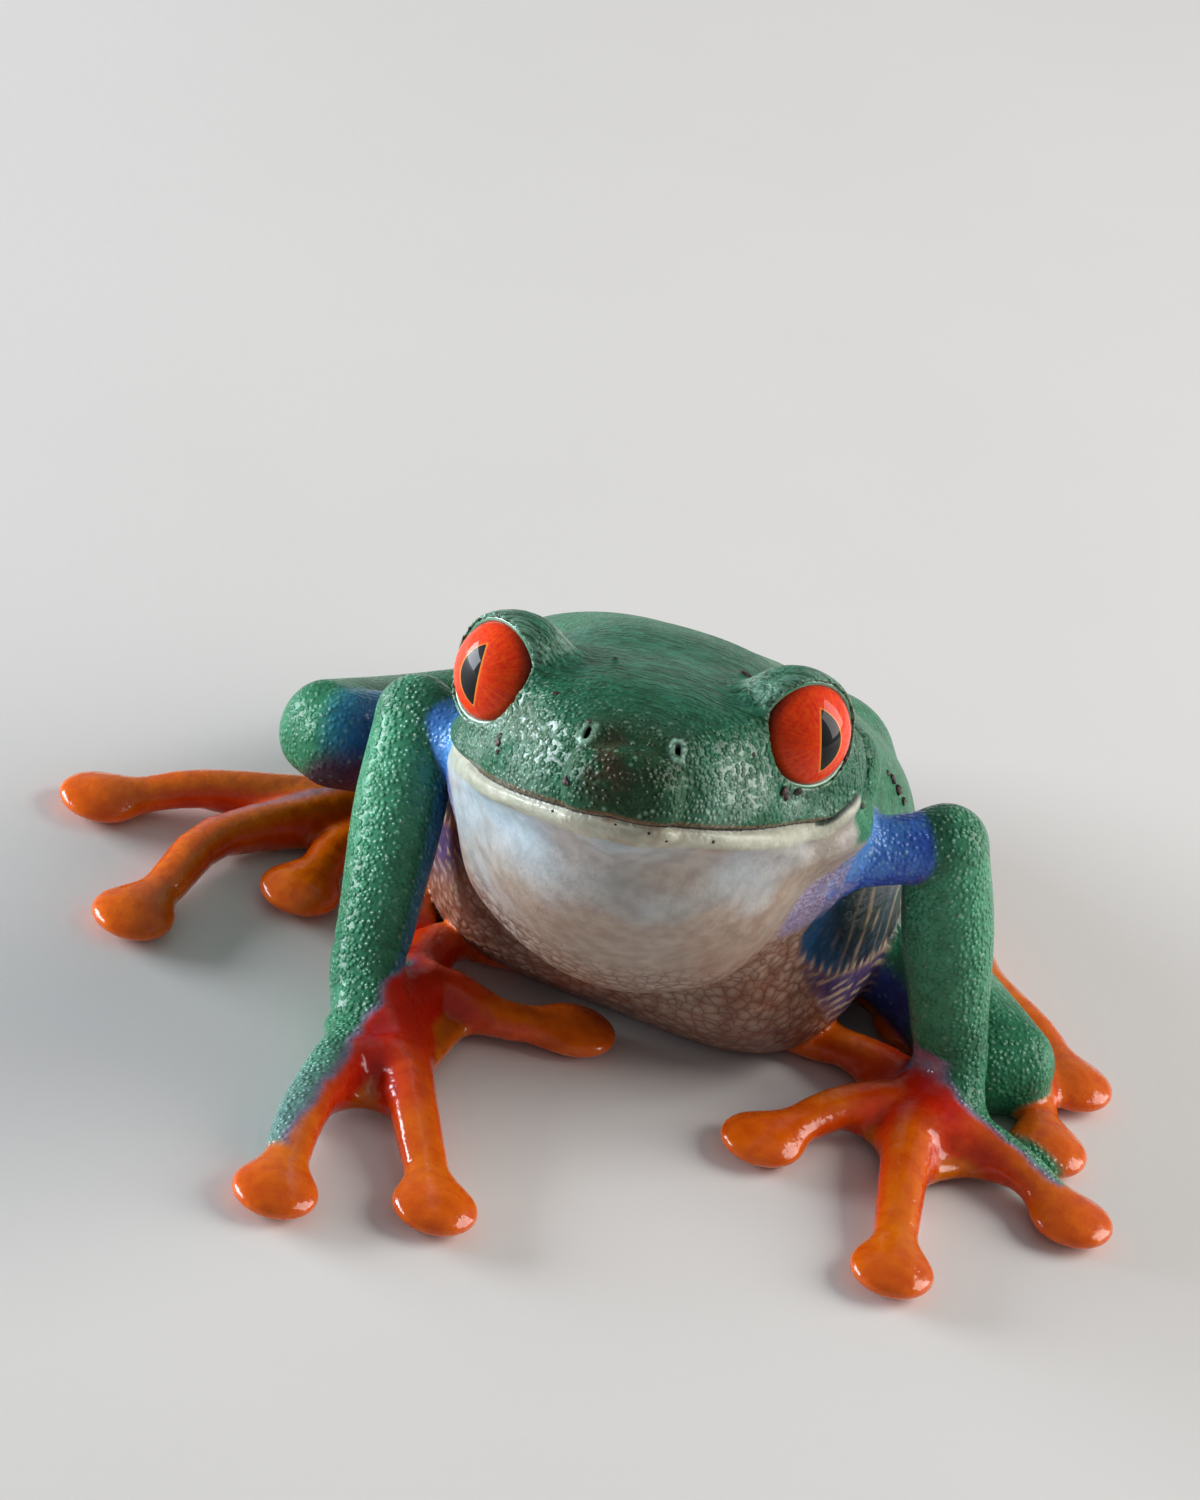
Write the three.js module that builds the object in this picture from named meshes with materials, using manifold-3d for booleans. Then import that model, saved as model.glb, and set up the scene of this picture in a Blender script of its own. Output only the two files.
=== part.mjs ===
// A red-eyed tree frog, Agalychnis callidryas, sitting alert on a level surface, life size.
// Millimetres, +Z up. The frog faces -Y, its left side is +X, and its belly rests on z = 0 round the origin.
// Every sub-part is its own closed body. Neighbours are parted by thin cuts of GAP.
import * as THREE from "three";
import { mergeVertices } from "three/addons/utils/BufferGeometryUtils.js";
import Module from "manifold-3d";

const wasm = await Module();
wasm.setup();

const vec = (x, y, z) => new THREE.Vector3(x, y, z);
const UP = vec(0, 0, 1);
const BACK = vec(0, 1, 0);

// Driving dimensions
const GAP = 0.3; // between neighbouring pieces
const EYE_RADIUS = 3.0;
const EYE_SPREAD = 7.1; // from the middle of the head to each eyeball's centre
const EYE_OPENING = 2.75; // radius of the ring of the eyelids
const EYE_OUT = 43; // degrees that each eye looks out from straight ahead
const EYE_LIFT = 5; // degrees that each eye looks up
const EYE_GAP = 0.15; // between an eyeball and its lids
const LID = 0.45; // thickness of the lids
const HEAD_AT = vec(0, -17, 25); // middle of the line between the eyes
const HEAD_PITCH = 20; // degrees, snout up
const HEAD_YAW = 8.4; // degrees, snout towards the frog's left
const HEAD_ROLL = -5.6; // degrees, right side down
const DISC_WIDE = 2.0; // half width of a finger's or toe's disc
const DIGIT_WIDE = 1.25; // half width of a digit
const WEB_THICK = 0.8;
const HAND_WEB = 0.72; // how far the webs reach from the knuckles to the middles of the fingers
const FOOT_WEB = 0.8; // the same on the foot

const COLOURS = {
  green: 0x2f7d4e,
  lip: 0xd8d6b8,
  blue: 0x3566b8,
  orange: 0xd9610a,
  red: 0xe23a05,
};
const SIDES = { right: -1, left: 1 };

// ---------------------------------------------------------------- solids

// A closed BufferGeometry as a manifold-3d solid.
function solid(geometry) {
  const plain = geometry.clone();
  plain.deleteAttribute("normal");
  plain.deleteAttribute("uv");
  const merged = mergeVertices(plain, 1e-4);
  return new wasm.Manifold(
    new wasm.Mesh({
      numProp: 3,
      vertProperties: new Float32Array(merged.attributes.position.array),
      triVerts: new Uint32Array(merged.index.array),
    }),
  );
}

// A manifold-3d solid back as a BufferGeometry. Of several bodies only the largest is kept.
function geometryOf(shape) {
  const body = shape.decompose().reduce((a, b) => (b.volume() > a.volume() ? b : a));
  const mesh = body.getMesh();
  return new THREE.BufferGeometry()
    .setAttribute("position", new THREE.BufferAttribute(new Float32Array(mesh.vertProperties), 3))
    .setIndex(new THREE.BufferAttribute(new Uint32Array(mesh.triVerts), 1));
}

// A closed body round a smooth axis. Each station is [centre, half width, half depth]. The depth is along up.
// It is a sphere whose middle is stretched along the axis, so both ends are round.
// With upright set, the sections stay parallel to up instead of standing square to the axis.
// low is how square the lower half of each section is, if that differs from the upper half.
function limb(stations, options = {}) {
  const { up = UP, sides = 10, rings = 8, grow = 0 } = options;
  const { square = 2, low = square, tip = 1, upright = false } = options;
  const axis = new THREE.CatmullRomCurve3(stations.map(([at]) => at));
  const sizes = new THREE.CatmullRomCurve3(stations.map(([, wide, deep]) => vec(wide, deep, 0)));
  const shape = new THREE.SphereGeometry(1, sides, rings);
  const places = shape.attributes.position;
  const capShare = 2.5 / rings;
  for (let i = 0; i < places.count; i++) {
    const p = vec().fromBufferAttribute(places, i);
    const along = Math.acos(THREE.MathUtils.clamp(p.y, -1, 1)) / Math.PI;
    const round = Math.atan2(p.z, p.x);
    const t = THREE.MathUtils.clamp((along - capShare) / (1 - 2 * capShare), 0, 1);
    let shrink = 1;
    let beyond = 0;
    if (along < capShare) {
      shrink = Math.sin(((along / capShare) * Math.PI) / 2);
      beyond = -Math.cos(((along / capShare) * Math.PI) / 2);
    } else if (along > 1 - capShare) {
      shrink = Math.sin((((1 - along) / capShare) * Math.PI) / 2);
      beyond = Math.cos((((1 - along) / capShare) * Math.PI) / 2);
    }
    const size = sizes.getPoint(t);
    const tangent = axis.getTangent(t).normalize();
    const side = vec().crossVectors(tangent, up).normalize();
    const above = upright ? up : vec().crossVectors(side, tangent).normalize();
    const wide = (size.x + grow) * shrink;
    const deep = (size.y + grow) * shrink;
    const edge = (x) => Math.sign(x) * Math.abs(x) ** (2 / (Math.sin(round) < 0 ? low : square));
    const end = (Math.min(size.x, size.y) * tip + grow) * beyond;
    const at = axis
      .getPoint(t)
      .addScaledVector(tangent, end)
      .addScaledVector(side, edge(Math.cos(round)) * wide)
      .addScaledVector(above, edge(Math.sin(round)) * deep);
    places.setXYZ(i, at.x, at.y, at.z);
  }
  const made = solid(shape);
  return made.volume() < 0 ? solid(turnedOut(shape)) : made;
}

// The same geometry with each face turned round.
function turnedOut(geometry) {
  const index = geometry.index.array;
  for (let i = 0; i < index.length; i += 3) [index[i], index[i + 1]] = [index[i + 1], index[i]];
  return geometry;
}

const ball = (at, radius, sides = 20) =>
  solid(new THREE.SphereGeometry(radius, sides, Math.round(sides * 0.7)).translate(at.x, at.y, at.z));

const block = (low, high) =>
  solid(
    new THREE.BoxGeometry(high.x - low.x, high.y - low.y, high.z - low.z).translate(
      (low.x + high.x) / 2,
      (low.y + high.y) / 2,
      (low.z + high.z) / 2,
    ),
  );

const FLOOR = block(vec(-90, -90, -30), vec(90, 90, 0));
const onFloor = (shape) => shape.subtract(FLOOR);

// ---------------------------------------------------------------- head

const headFrame = new THREE.Matrix4().compose(
  HEAD_AT,
  new THREE.Quaternion().setFromEuler(
    new THREE.Euler(
      THREE.MathUtils.degToRad(-HEAD_PITCH),
      THREE.MathUtils.degToRad(HEAD_ROLL),
      THREE.MathUtils.degToRad(HEAD_YAW),
      "ZXY",
    ),
  ),
  vec(1, 1, 1),
);
const inHead = (x, y, z) => vec(x, y, z).applyMatrix4(headFrame);
const headUp = UP.clone().transformDirection(headFrame);

// The whole head in its own frame, from the snout to the nape.
const HEAD_STATIONS = [
  [-8.4, -3.2, 2.9, 2.5],
  [-6.6, -3.0, 5.0, 3.6],
  [-4.0, -3.0, 7.2, 4.5],
  [-1.0, -3.1, 8.9, 5.1],
  [2.5, -3.5, 10.0, 5.6],
  [6.0, -4.0, 10.3, 6.0],
  [9.5, -4.6, 9.4, 6.2],
].map(([y, z, wide, deep]) => [inHead(0, y, z), wide, deep]);

const gaze = (side) => {
  const out = THREE.MathUtils.degToRad(EYE_OUT);
  const lift = THREE.MathUtils.degToRad(EYE_LIFT);
  return vec(side * Math.sin(out) * Math.cos(lift), -Math.cos(out) * Math.cos(lift), Math.sin(lift));
};
const eyeAt = (side) => inHead(side * EYE_SPREAD, 0, 0);
const lidAt = (side) => inHead(side * (EYE_SPREAD - 0.15), 0.1, -0.15);

function wholeHead(grow = 0) {
  let head = limb(HEAD_STATIONS, { up: headUp, sides: 18, rings: 11, grow, square: 2.3 });
  for (const side of Object.values(SIDES)) {
    head = head.add(ball(lidAt(side), EYE_RADIUS + EYE_GAP + LID + grow, 16));
  }
  // skin is bunched behind the left corner of the mouth
  return head.add(ball(inHead(8.2, 4.5, -3), 3 + grow, 12));
}

// The plane of the mouth falls a little towards the jaw's corners.
const MOUTH_FALL = THREE.MathUtils.degToRad(1);
const mouthAt = inHead(0, -9, -4.7);
const mouthUp = vec(0, Math.sin(MOUTH_FALL), Math.cos(MOUTH_FALL)).transformDirection(headFrame);

function headAndJaw() {
  const whole = wholeHead();
  const half = GAP / 2;
  const offset = mouthUp.dot(mouthAt);
  const normal = [mouthUp.x, mouthUp.y, mouthUp.z];
  const [upper] = whole.splitByPlane(normal, offset + half);
  const [, lower] = whole.splitByPlane(normal, offset - half);
  let skull = upper;
  for (const side of Object.values(SIDES)) {
    const at = eyeAt(side);
    const out = gaze(side).transformDirection(headFrame);
    const opening = new THREE.CylinderGeometry(EYE_OPENING + 0.35, EYE_OPENING, 4, 16);
    opening.translate(0, 2 + EYE_RADIUS * 0.45, 0);
    opening.applyQuaternion(new THREE.Quaternion().setFromUnitVectors(vec(0, 1, 0), out));
    opening.translate(at.x, at.y, at.z);
    skull = skull.subtract(ball(at, EYE_RADIUS + EYE_GAP, 16)).subtract(solid(opening));
  }
  return { skull, jaw: lower };
}

// ---------------------------------------------------------------- trunk

// y, height of the belly, height of the back, half width
const TRUNK_SECTIONS = [
  [-13.2, 10.2, 24.6, 7.3],
  [-9.5, 3, 24.6, 9.4],
  [-4.5, -0.5, 22.6, 11.8],
  [1, -0.3, 19.5, 13.0],
  [7, -0.2, 16.2, 12.3],
  [13, 0.2, 12.9, 10.2],
  [18, 1.0, 10.1, 7.6],
  [22, 2.0, 7.8, 4.8],
  [24.2, 2.7, 6.1, 2.5],
];
const TRUNK_SWING = 0.07; // towards the frog's right for each mm behind the shoulders
const TRUNK_STATIONS = TRUNK_SECTIONS.map(([y, low, high, wide]) => [
  vec(-TRUNK_SWING * (y + 13), y, (low + high) / 2),
  wide,
  (high - low) / 2,
]);

const wholeTrunk = (grow = 0) =>
  limb(TRUNK_STATIONS, { sides: 20, rings: 13, grow, square: 2.4, low: 5, upright: true, tip: 0.5 });

// ---------------------------------------------------------------- limbs

// Joints of each arm, then the knuckle, the middle and the disc of each finger from the inner one outwards.
const ARMS = {
  right: {
    shoulder: vec(-7.0, -9.4, 12.9),
    elbow: vec(-14.1, -6.6, 13.1),
    wrist: vec(-10.9, -16.6, 2.9),
    palm: vec(-9.3, -18.4, 1.5),
    fingers: [
      [vec(-9.8, -10.4, 1.6), vec(-9.1, -7.4, 1.3), vec(-6.4, -4.9, 0.8)],
      [vec(-8.2, -12.8, 1.8), vec(-4.6, -13.0, 1.5), vec(-0.9, -10.6, 0.8)],
      [vec(-7.0, -20.4, 1.8), vec(-4.4, -25.0, 1.5), vec(-1.3, -30.2, 0.8)],
      [vec(-9.8, -22.4, 1.8), vec(-9.6, -28.0, 1.5), vec(-8.5, -34.0, 0.8)],
    ],
  },
  left: {
    shoulder: vec(7.2, -10.0, 13.8),
    elbow: vec(14.5, -4.6, 16.1),
    wrist: vec(18.1, -4.7, 3.6),
    palm: vec(18.4, -6.4, 1.6),
    fingers: [
      [vec(15.4, -4.0, 1.6), vec(12.8, -3.2, 1.4), vec(9.9, -2.2, 0.8)],
      [vec(16.0, -7.0, 1.8), vec(13.6, -9.2, 1.5), vec(11.1, -13.5, 0.8)],
      [vec(17.9, -9.6, 1.8), vec(18.9, -14.4, 1.5), vec(20.4, -20.3, 0.8)],
      [vec(20.8, -7.2, 1.8), vec(24.0, -8.3, 1.5), vec(27.1, -9.9, 0.8)],
    ],
  },
};
// The same for the legs. The thigh and the shank are given by a point between their ends too.
const LEGS = {
  right: {
    hip: vec(-4.6, 16.5, 5.8),
    thigh: vec(-11.8, 6.4, 4.9),
    knee: vec(-18.9, -3.0, 7.9),
    shank: vec(-18.2, 7.5, 4.2),
    heel: vec(-12.6, 19.0, 2.8),
    ankle: vec(-13.4, 6.4, 1.9),
    toes: [
      [vec(-10.2, 3.6, 1.5), vec(-9.2, 1.2, 1.1), vec(-8.8, -2.2, 0.8)],
      [vec(-11.6, 1.8, 1.6), vec(-11.8, -1.6, 1.2), vec(-12.6, -6.2, 0.8)],
      [vec(-14.8, 1.6, 1.6), vec(-17.4, -2.4, 1.3), vec(-17.8, -7.4, 0.8)],
      [vec(-18.6, 0.4, 1.7), vec(-23.2, -6.4, 1.5), vec(-24.2, -15.5, 0.8)],
      [vec(-19.4, 1.2, 1.7), vec(-25.6, -2.4, 1.5), vec(-30.1, -6.1, 0.8)],
    ],
  },
  left: {
    hip: vec(3.4, 16.5, 6.0),
    thigh: vec(9.8, 6.4, 4.4),
    knee: vec(19.6, -1.1, 2.5),
    shank: vec(13.0, 7.4, 2.4),
    heel: vec(10.6, 19.0, 2.4),
    ankle: vec(13.2, 11.0, 1.9),
    toes: [
      [vec(12.4, 8.8, 1.4), vec(12.2, 7.0, 1.1), vec(12.3, 4.8, 0.8)],
      [vec(13.6, 7.4, 1.4), vec(14.1, 5.0, 1.1), vec(14.6, 2.2, 0.8)],
      [vec(14.6, 7.2, 1.4), vec(16.4, 4.0, 1.1), vec(17.8, 0.6, 0.8)],
      [vec(16.4, 6.4, 1.4), vec(21.0, 2.0, 1.1), vec(24.2, -4.4, 0.8)],
      [vec(17.2, 7.6, 1.4), vec(20.6, 5.6, 1.1), vec(23.6, 2.6, 0.8)],
    ],
  },
};

const between = (a, b, share) => a.clone().lerp(b, share);

const upperArm = (p, grow = 0) =>
  limb(
    [
      [p.shoulder, 2.4, 2.3],
      [between(p.shoulder, p.elbow, 0.55), 1.9, 1.8],
      [p.elbow, 2.0, 2.0],
    ],
    { grow },
  );

const foreArm = (p, grow = 0) =>
  limb(
    [
      [p.elbow, 2.2, 2.2],
      [between(p.elbow, p.wrist, 0.35), 2.5, 2.3],
      [between(p.elbow, p.wrist, 0.75), 2.1, 1.9],
      [p.wrist, 1.9, 1.5],
    ],
    { up: BACK, grow, tip: 0.8 },
  );

const palmOf = (p, grow = 0) =>
  limb(
    [
      [p.wrist, 1.9, 1.5],
      [p.palm, 2.7, 1.5],
      [between(p.fingers[2][0], p.fingers[3][0], 0.4), 2.2, 1.2],
    ],
    { grow, rings: 7, tip: 0.5 },
  );

const digit = (root, [knuckle, middle, tip], grow = 0) =>
  limb(
    [
      [between(root, knuckle, 0.4), DIGIT_WIDE + 0.1, 1.0],
      [knuckle, DIGIT_WIDE + 0.05, 1.05],
      [middle, DIGIT_WIDE, 0.95],
      [between(middle, tip, 0.62), DIGIT_WIDE - 0.05, 0.8],
      [tip, DISC_WIDE, 0.9],
    ],
    { sides: 8, rings: 9, grow, tip: 1.3 },
  );

// The web between two neighbouring digits: a sheet on the floor with a hollow outer edge.
function web(root, [knuckleA, middleA], [knuckleB, middleB], share) {
  const a = between(knuckleA, middleA, share);
  const b = between(knuckleB, middleB, share);
  const hollow = between(between(a, b, 0.5), root, 0.35);
  const shape = new THREE.Shape();
  shape.moveTo(root.x, root.y);
  shape.lineTo(a.x, a.y);
  shape.quadraticCurveTo(hollow.x, hollow.y, b.x, b.y);
  shape.closePath();
  return solid(new THREE.ExtrudeGeometry(shape, { depth: WEB_THICK, bevelEnabled: false, curveSegments: 5 }));
}

// The digits of one hand or foot. Each carries the web that joins it to the next one outwards.
function digits(root, lines, share, keepOut) {
  let taken = keepOut;
  const made = [];
  for (let i = lines.length - 1; i >= 0; i--) {
    let shape = digit(root, lines[i]);
    if (i + 1 < lines.length) shape = shape.add(web(root, lines[i], lines[i + 1], share));
    made[i] = onFloor(shape.subtract(taken));
    taken = taken.add(digit(root, lines[i], GAP));
  }
  return made;
}

const thigh = (p, grow = 0) =>
  limb(
    [
      [p.hip, 4.0, 4.0],
      [between(p.hip, p.thigh, 0.6), 3.8, 3.8],
      [p.thigh, 3.4, 3.4],
      [between(p.thigh, p.knee, 0.6), 2.9, 2.9],
      [p.knee, 2.6, 2.7],
    ],
    { grow, sides: 10, rings: 9 },
  );

// The shank lies folded along the outer side of the thigh.
const shank = (p, grow = 0) => {
  const start = p.knee.clone().add(vec(Math.sign(p.knee.x) * 1.2, 0.4, 0));
  return limb(
    [
      [start, 2.2, 2.6],
      [p.shank, 2.5, 2.5],
      [between(p.shank, p.heel, 0.6), 2.1, 2.2],
      [p.heel, 1.8, 2.0],
    ],
    { grow, rings: 9 },
  );
};

const tarsus = (p, grow = 0) =>
  limb([[p.heel, 1.8, 1.8], [between(p.heel, p.ankle, 0.5), 1.6, 1.5], [p.ankle, 1.9, 1.5]], { grow });

const soleOf = (p, grow = 0) =>
  limb(
    [
      [p.ankle, 1.9, 1.5],
      [between(p.ankle, p.toes[2][0], 0.6), 2.8, 1.4],
      [p.toes[2][0], 2.6, 1.2],
    ],
    { grow, rings: 7, tip: 0.5 },
  );

// ---------------------------------------------------------------- the frog

const frog = new THREE.Group();

function addPiece(name, shape, colour, roughness = 0.45) {
  const mesh = new THREE.Mesh(
    geometryOf(shape),
    new THREE.MeshStandardMaterial({ color: colour, roughness, metalness: 0 }),
  );
  mesh.name = name;
  frog.add(mesh);
}

const { skull, jaw } = headAndJaw();
addPiece("head", skull, COLOURS.green);
addPiece("lower_jaw", jaw, COLOURS.lip);
const headGrown = wholeHead(GAP);
addPiece("trunk", onFloor(wholeTrunk().subtract(headGrown)), COLOURS.green);
const coreGrown = headGrown.add(wholeTrunk(GAP));

for (const [name, side] of Object.entries(SIDES)) {
  const arm = ARMS[name];
  addPiece(`eye_${name}`, ball(eyeAt(side), EYE_RADIUS, 14), COLOURS.red, 0.05);
  addPiece(`upper_arm_${name}`, upperArm(arm).subtract(coreGrown), COLOURS.blue);
  addPiece(`forearm_${name}`, foreArm(arm).subtract(upperArm(arm, GAP)).subtract(coreGrown), COLOURS.green);
  addPiece(`hand_${name}`, onFloor(palmOf(arm).subtract(foreArm(arm, GAP))), COLOURS.orange, 0.25);
  const armGrown = palmOf(arm, GAP).add(foreArm(arm, GAP)).add(coreGrown);
  digits(arm.palm, arm.fingers, HAND_WEB, armGrown).forEach((finger, i) =>
    addPiece(`finger_${i + 1}_${name}`, finger, COLOURS.orange, 0.25),
  );

  const leg = LEGS[name];
  addPiece(`thigh_${name}`, onFloor(thigh(leg).subtract(coreGrown)), COLOURS.green);
  const thighGrown = thigh(leg, GAP).add(coreGrown);
  addPiece(`shank_${name}`, onFloor(shank(leg).subtract(thighGrown)), COLOURS.green);
  const kneeGrown = thighGrown.add(shank(leg, GAP));
  addPiece(`tarsus_${name}`, onFloor(tarsus(leg).subtract(kneeGrown)), COLOURS.blue);
  const tarsusGrown = kneeGrown.add(tarsus(leg, GAP));
  addPiece(`foot_${name}`, onFloor(soleOf(leg).subtract(tarsusGrown)), COLOURS.orange, 0.25);
  digits(leg.ankle, leg.toes, FOOT_WEB, tarsusGrown.add(soleOf(leg, GAP))).forEach((toe, i) =>
    addPiece(`toe_${i + 1}_${name}`, toe, COLOURS.orange, 0.25),
  );
}

export default frog;
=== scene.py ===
"""A red-eyed tree frog at life size: one unbroken skin, two eyes and a plain stage.

The skin is the zero surface of a signed distance in millimetres. It is built from named limbs, smooth joins
and small carved details, and is meshed on a fine grid. Colours are painted on its vertices by region, and
the grain of the skin comes from nodes.
"""

import math

import bpy
import numpy as np
from bpy.props import FloatProperty, FloatVectorProperty, PointerProperty
from mathutils import Matrix, Vector


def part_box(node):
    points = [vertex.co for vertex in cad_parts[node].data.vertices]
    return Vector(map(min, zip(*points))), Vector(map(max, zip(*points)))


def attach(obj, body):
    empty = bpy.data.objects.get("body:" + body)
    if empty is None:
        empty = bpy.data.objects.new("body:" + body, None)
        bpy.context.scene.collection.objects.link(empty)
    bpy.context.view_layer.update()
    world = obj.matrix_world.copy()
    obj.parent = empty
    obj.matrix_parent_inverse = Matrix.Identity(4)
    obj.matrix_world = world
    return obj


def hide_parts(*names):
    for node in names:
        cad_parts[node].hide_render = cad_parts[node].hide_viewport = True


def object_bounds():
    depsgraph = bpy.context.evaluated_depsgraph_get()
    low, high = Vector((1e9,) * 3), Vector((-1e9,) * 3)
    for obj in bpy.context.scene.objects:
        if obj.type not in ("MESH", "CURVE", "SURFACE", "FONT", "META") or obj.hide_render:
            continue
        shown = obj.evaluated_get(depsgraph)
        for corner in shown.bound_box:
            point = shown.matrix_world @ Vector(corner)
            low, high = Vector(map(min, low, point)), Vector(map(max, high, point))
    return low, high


bl_info = {
    "name": "Red-eyed tree frog",
    "version": (1, 0, 0),
    "blender": (4, 5, 0),
    "location": "3D View > Sidebar > Frog",
    "description": "Builds a life-size red-eyed tree frog: one skin, two eyes and a plain stage",
    "category": "Add Mesh",
}

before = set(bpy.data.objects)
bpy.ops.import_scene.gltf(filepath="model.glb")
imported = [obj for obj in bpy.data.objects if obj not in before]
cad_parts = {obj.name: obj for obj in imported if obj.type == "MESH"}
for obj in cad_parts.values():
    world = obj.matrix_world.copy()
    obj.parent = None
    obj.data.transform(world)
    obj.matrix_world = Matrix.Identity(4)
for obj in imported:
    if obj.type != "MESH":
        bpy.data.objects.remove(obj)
CAD_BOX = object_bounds()
MM = 0.001
FAR = 9.0  # what the distance reads well away from a limb, in mm
LIMB_ROOM = 3.2  # how far out from a limb its distance holds, in mm
BARREL_ROOM = 12.0  # the same for the trunk, the skull and the jaw
BEYOND = (900.0, 901.0)  # a stretch of Y that the frog doesn't reach, in mm


# ------------------------------------------------------------------ small maths


def vec(*xyz):
    return np.array(xyz, float)


def unit(v):
    return v / np.linalg.norm(v, axis=-1, keepdims=True)


def step(a, b, x):
    """Rises smoothly from 0 at a to 1 at b."""
    t = np.clip((x - a) / (b - a), 0, 1)
    return t * t * (3 - 2 * t)


def bump(x, centre, width):
    """A bell of height 1 at centre."""
    return np.exp(-(((x - centre) / width) ** 2))


def join(a, b, k):
    """Union of two distances, rounded over k mm."""
    h = np.clip(0.5 + 0.5 * (b - a) / k, 0, 1)
    return b * (1 - h) + a * h - k * h * (1 - h)


def carve(a, b, k):
    """Distance a with shape b cut out of it, rounded over k mm."""
    return -join(-a, b, k)


def blend(a, b, t):
    """Mixes colours a and b by t, one value for each vertex."""
    return a * (1 - t[:, None]) + b * t[:, None]


def between(a, b, t):
    """The place at that share of the way from a to b."""
    return np.asarray(a, float) * (1 - t) + np.asarray(b, float) * t


def nearest_on(p, a, b):
    """Share of the way from a to b where the line is nearest to each point, and the offset from there."""
    line = b - a
    t = np.clip((p - a) @ line / (line @ line), 0, 1)
    return t, p - (a + t[:, None] * line)


def within(p, low, high):
    """Numbers of the points that lie in that box."""
    return np.nonzero(((p > low) & (p < high)).all(1))[0]


def lattice(*axes):
    """Every combination of the values of three axes, one in each row."""
    return np.stack(np.meshgrid(*axes, indexing="ij"), -1).reshape(-1, 3)


def left_side(q):
    """Points of the head, with those of its right side mirrored on to the left."""
    return np.column_stack([np.abs(q[:, 0]), q[:, 1:]])


def widened(q, share):
    """Points with x multiplied by a share of its own for each."""
    return np.column_stack([q[:, 0] * share, q[:, 1:]])


def spline(points, count):
    """A smooth curve of that many samples through the rows of points."""
    p = np.asarray(points, float)
    p = np.vstack([2 * p[0] - p[1], p, 2 * p[-1] - p[-2]])
    spans = len(p) - 3
    s = np.linspace(0, spans, count)
    i = np.minimum(s.astype(int), spans - 1)
    t = (s - i)[:, None]
    a, b, c, d = p[i], p[i + 1], p[i + 2], p[i + 3]
    return 0.5 * (
        2 * b + (c - a) * t + (2 * a - 5 * b + 4 * c - d) * t**2 + (3 * b - a - 3 * c + d) * t**3
    )


def cloud(p, size, seed=0):
    """Smooth random values from 0 to 1 that change over that size, for each row of p."""
    q = p / size + 17.3 * seed
    cell = np.floor(q).astype(np.int64)
    f = q - cell
    f = f * f * (3 - 2 * f)
    total = np.zeros(len(p))
    for corner in np.ndindex(2, 2, 2):
        c = cell + corner
        h = (c[:, 0] * 374761393 + c[:, 1] * 668265263 + c[:, 2] * 2147483647 + seed * 974634777) & 0xFFFFFFFF
        h = ((h ^ (h >> 13)) * 1274126177) & 0xFFFFFFFF
        value = ((h ^ (h >> 16)) & 0xFFFF) / 65535.0
        weight = np.prod(np.where(corner, f, 1 - f), axis=1)
        total += value * weight
    return total


# ------------------------------------------------------------------ the frog's measures, in mm


HEAD_AT = vec(0, -17, 25)  # the middle of the line between the eyes
HEAD_PITCH, HEAD_ROLL, HEAD_YAW = 20.0, -5.6, 8.4  # degrees
EYE_OUT, EYE_LIFT = 43.0, 5.0  # where the ring of each eye's lids faces
# degrees that each pupil faces out and up, and the lean of its slit
PUPILS = {"eye_right": (35.0, 0.0, 3.0), "eye_left": (40.0, 2.0, -14.0)}

ARMS = {
    "right": {
        "shoulder": (-7.0, -9.4, 12.9),
        "elbow": (-14.1, -6.6, 13.1),
        "wrist": (-10.9, -16.6, 2.9),
        "palm": (-9.3, -18.4, 1.5),
        "digits": [
            [(-9.8, -10.4, 1.6), (-9.1, -7.4, 1.3), (-6.4, -4.9, 0.8)],
            [(-8.2, -12.8, 1.8), (-4.6, -13.0, 1.5), (-0.9, -10.6, 0.8)],
            [(-7.0, -20.4, 1.8), (-4.4, -25.0, 1.5), (-1.3, -30.2, 0.8)],
            [(-9.8, -22.4, 1.8), (-9.6, -28.0, 1.5), (-8.5, -34.0, 0.8)],
        ],
        "red_from": (0.5, -1.5),
    },
    "left": {
        "shoulder": (7.0, -10.2, 15.0),
        "elbow": (14.5, -4.6, 16.1),
        "wrist": (18.1, -4.7, 3.6),
        "palm": (18.4, -6.4, 1.6),
        "digits": [
            [(15.4, -4.0, 1.6), (12.8, -3.2, 1.4), (9.9, -2.2, 0.8)],
            [(16.0, -7.0, 1.8), (13.6, -9.2, 1.5), (11.1, -13.5, 0.8)],
            [(17.9, -9.6, 1.8), (18.9, -14.4, 1.5), (20.4, -20.3, 0.8)],
            [(20.8, -7.2, 1.8), (24.0, -8.3, 1.5), (27.1, -9.9, 0.8)],
        ],
        "red_from": (1.3, -2.5),
    },
}
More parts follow.
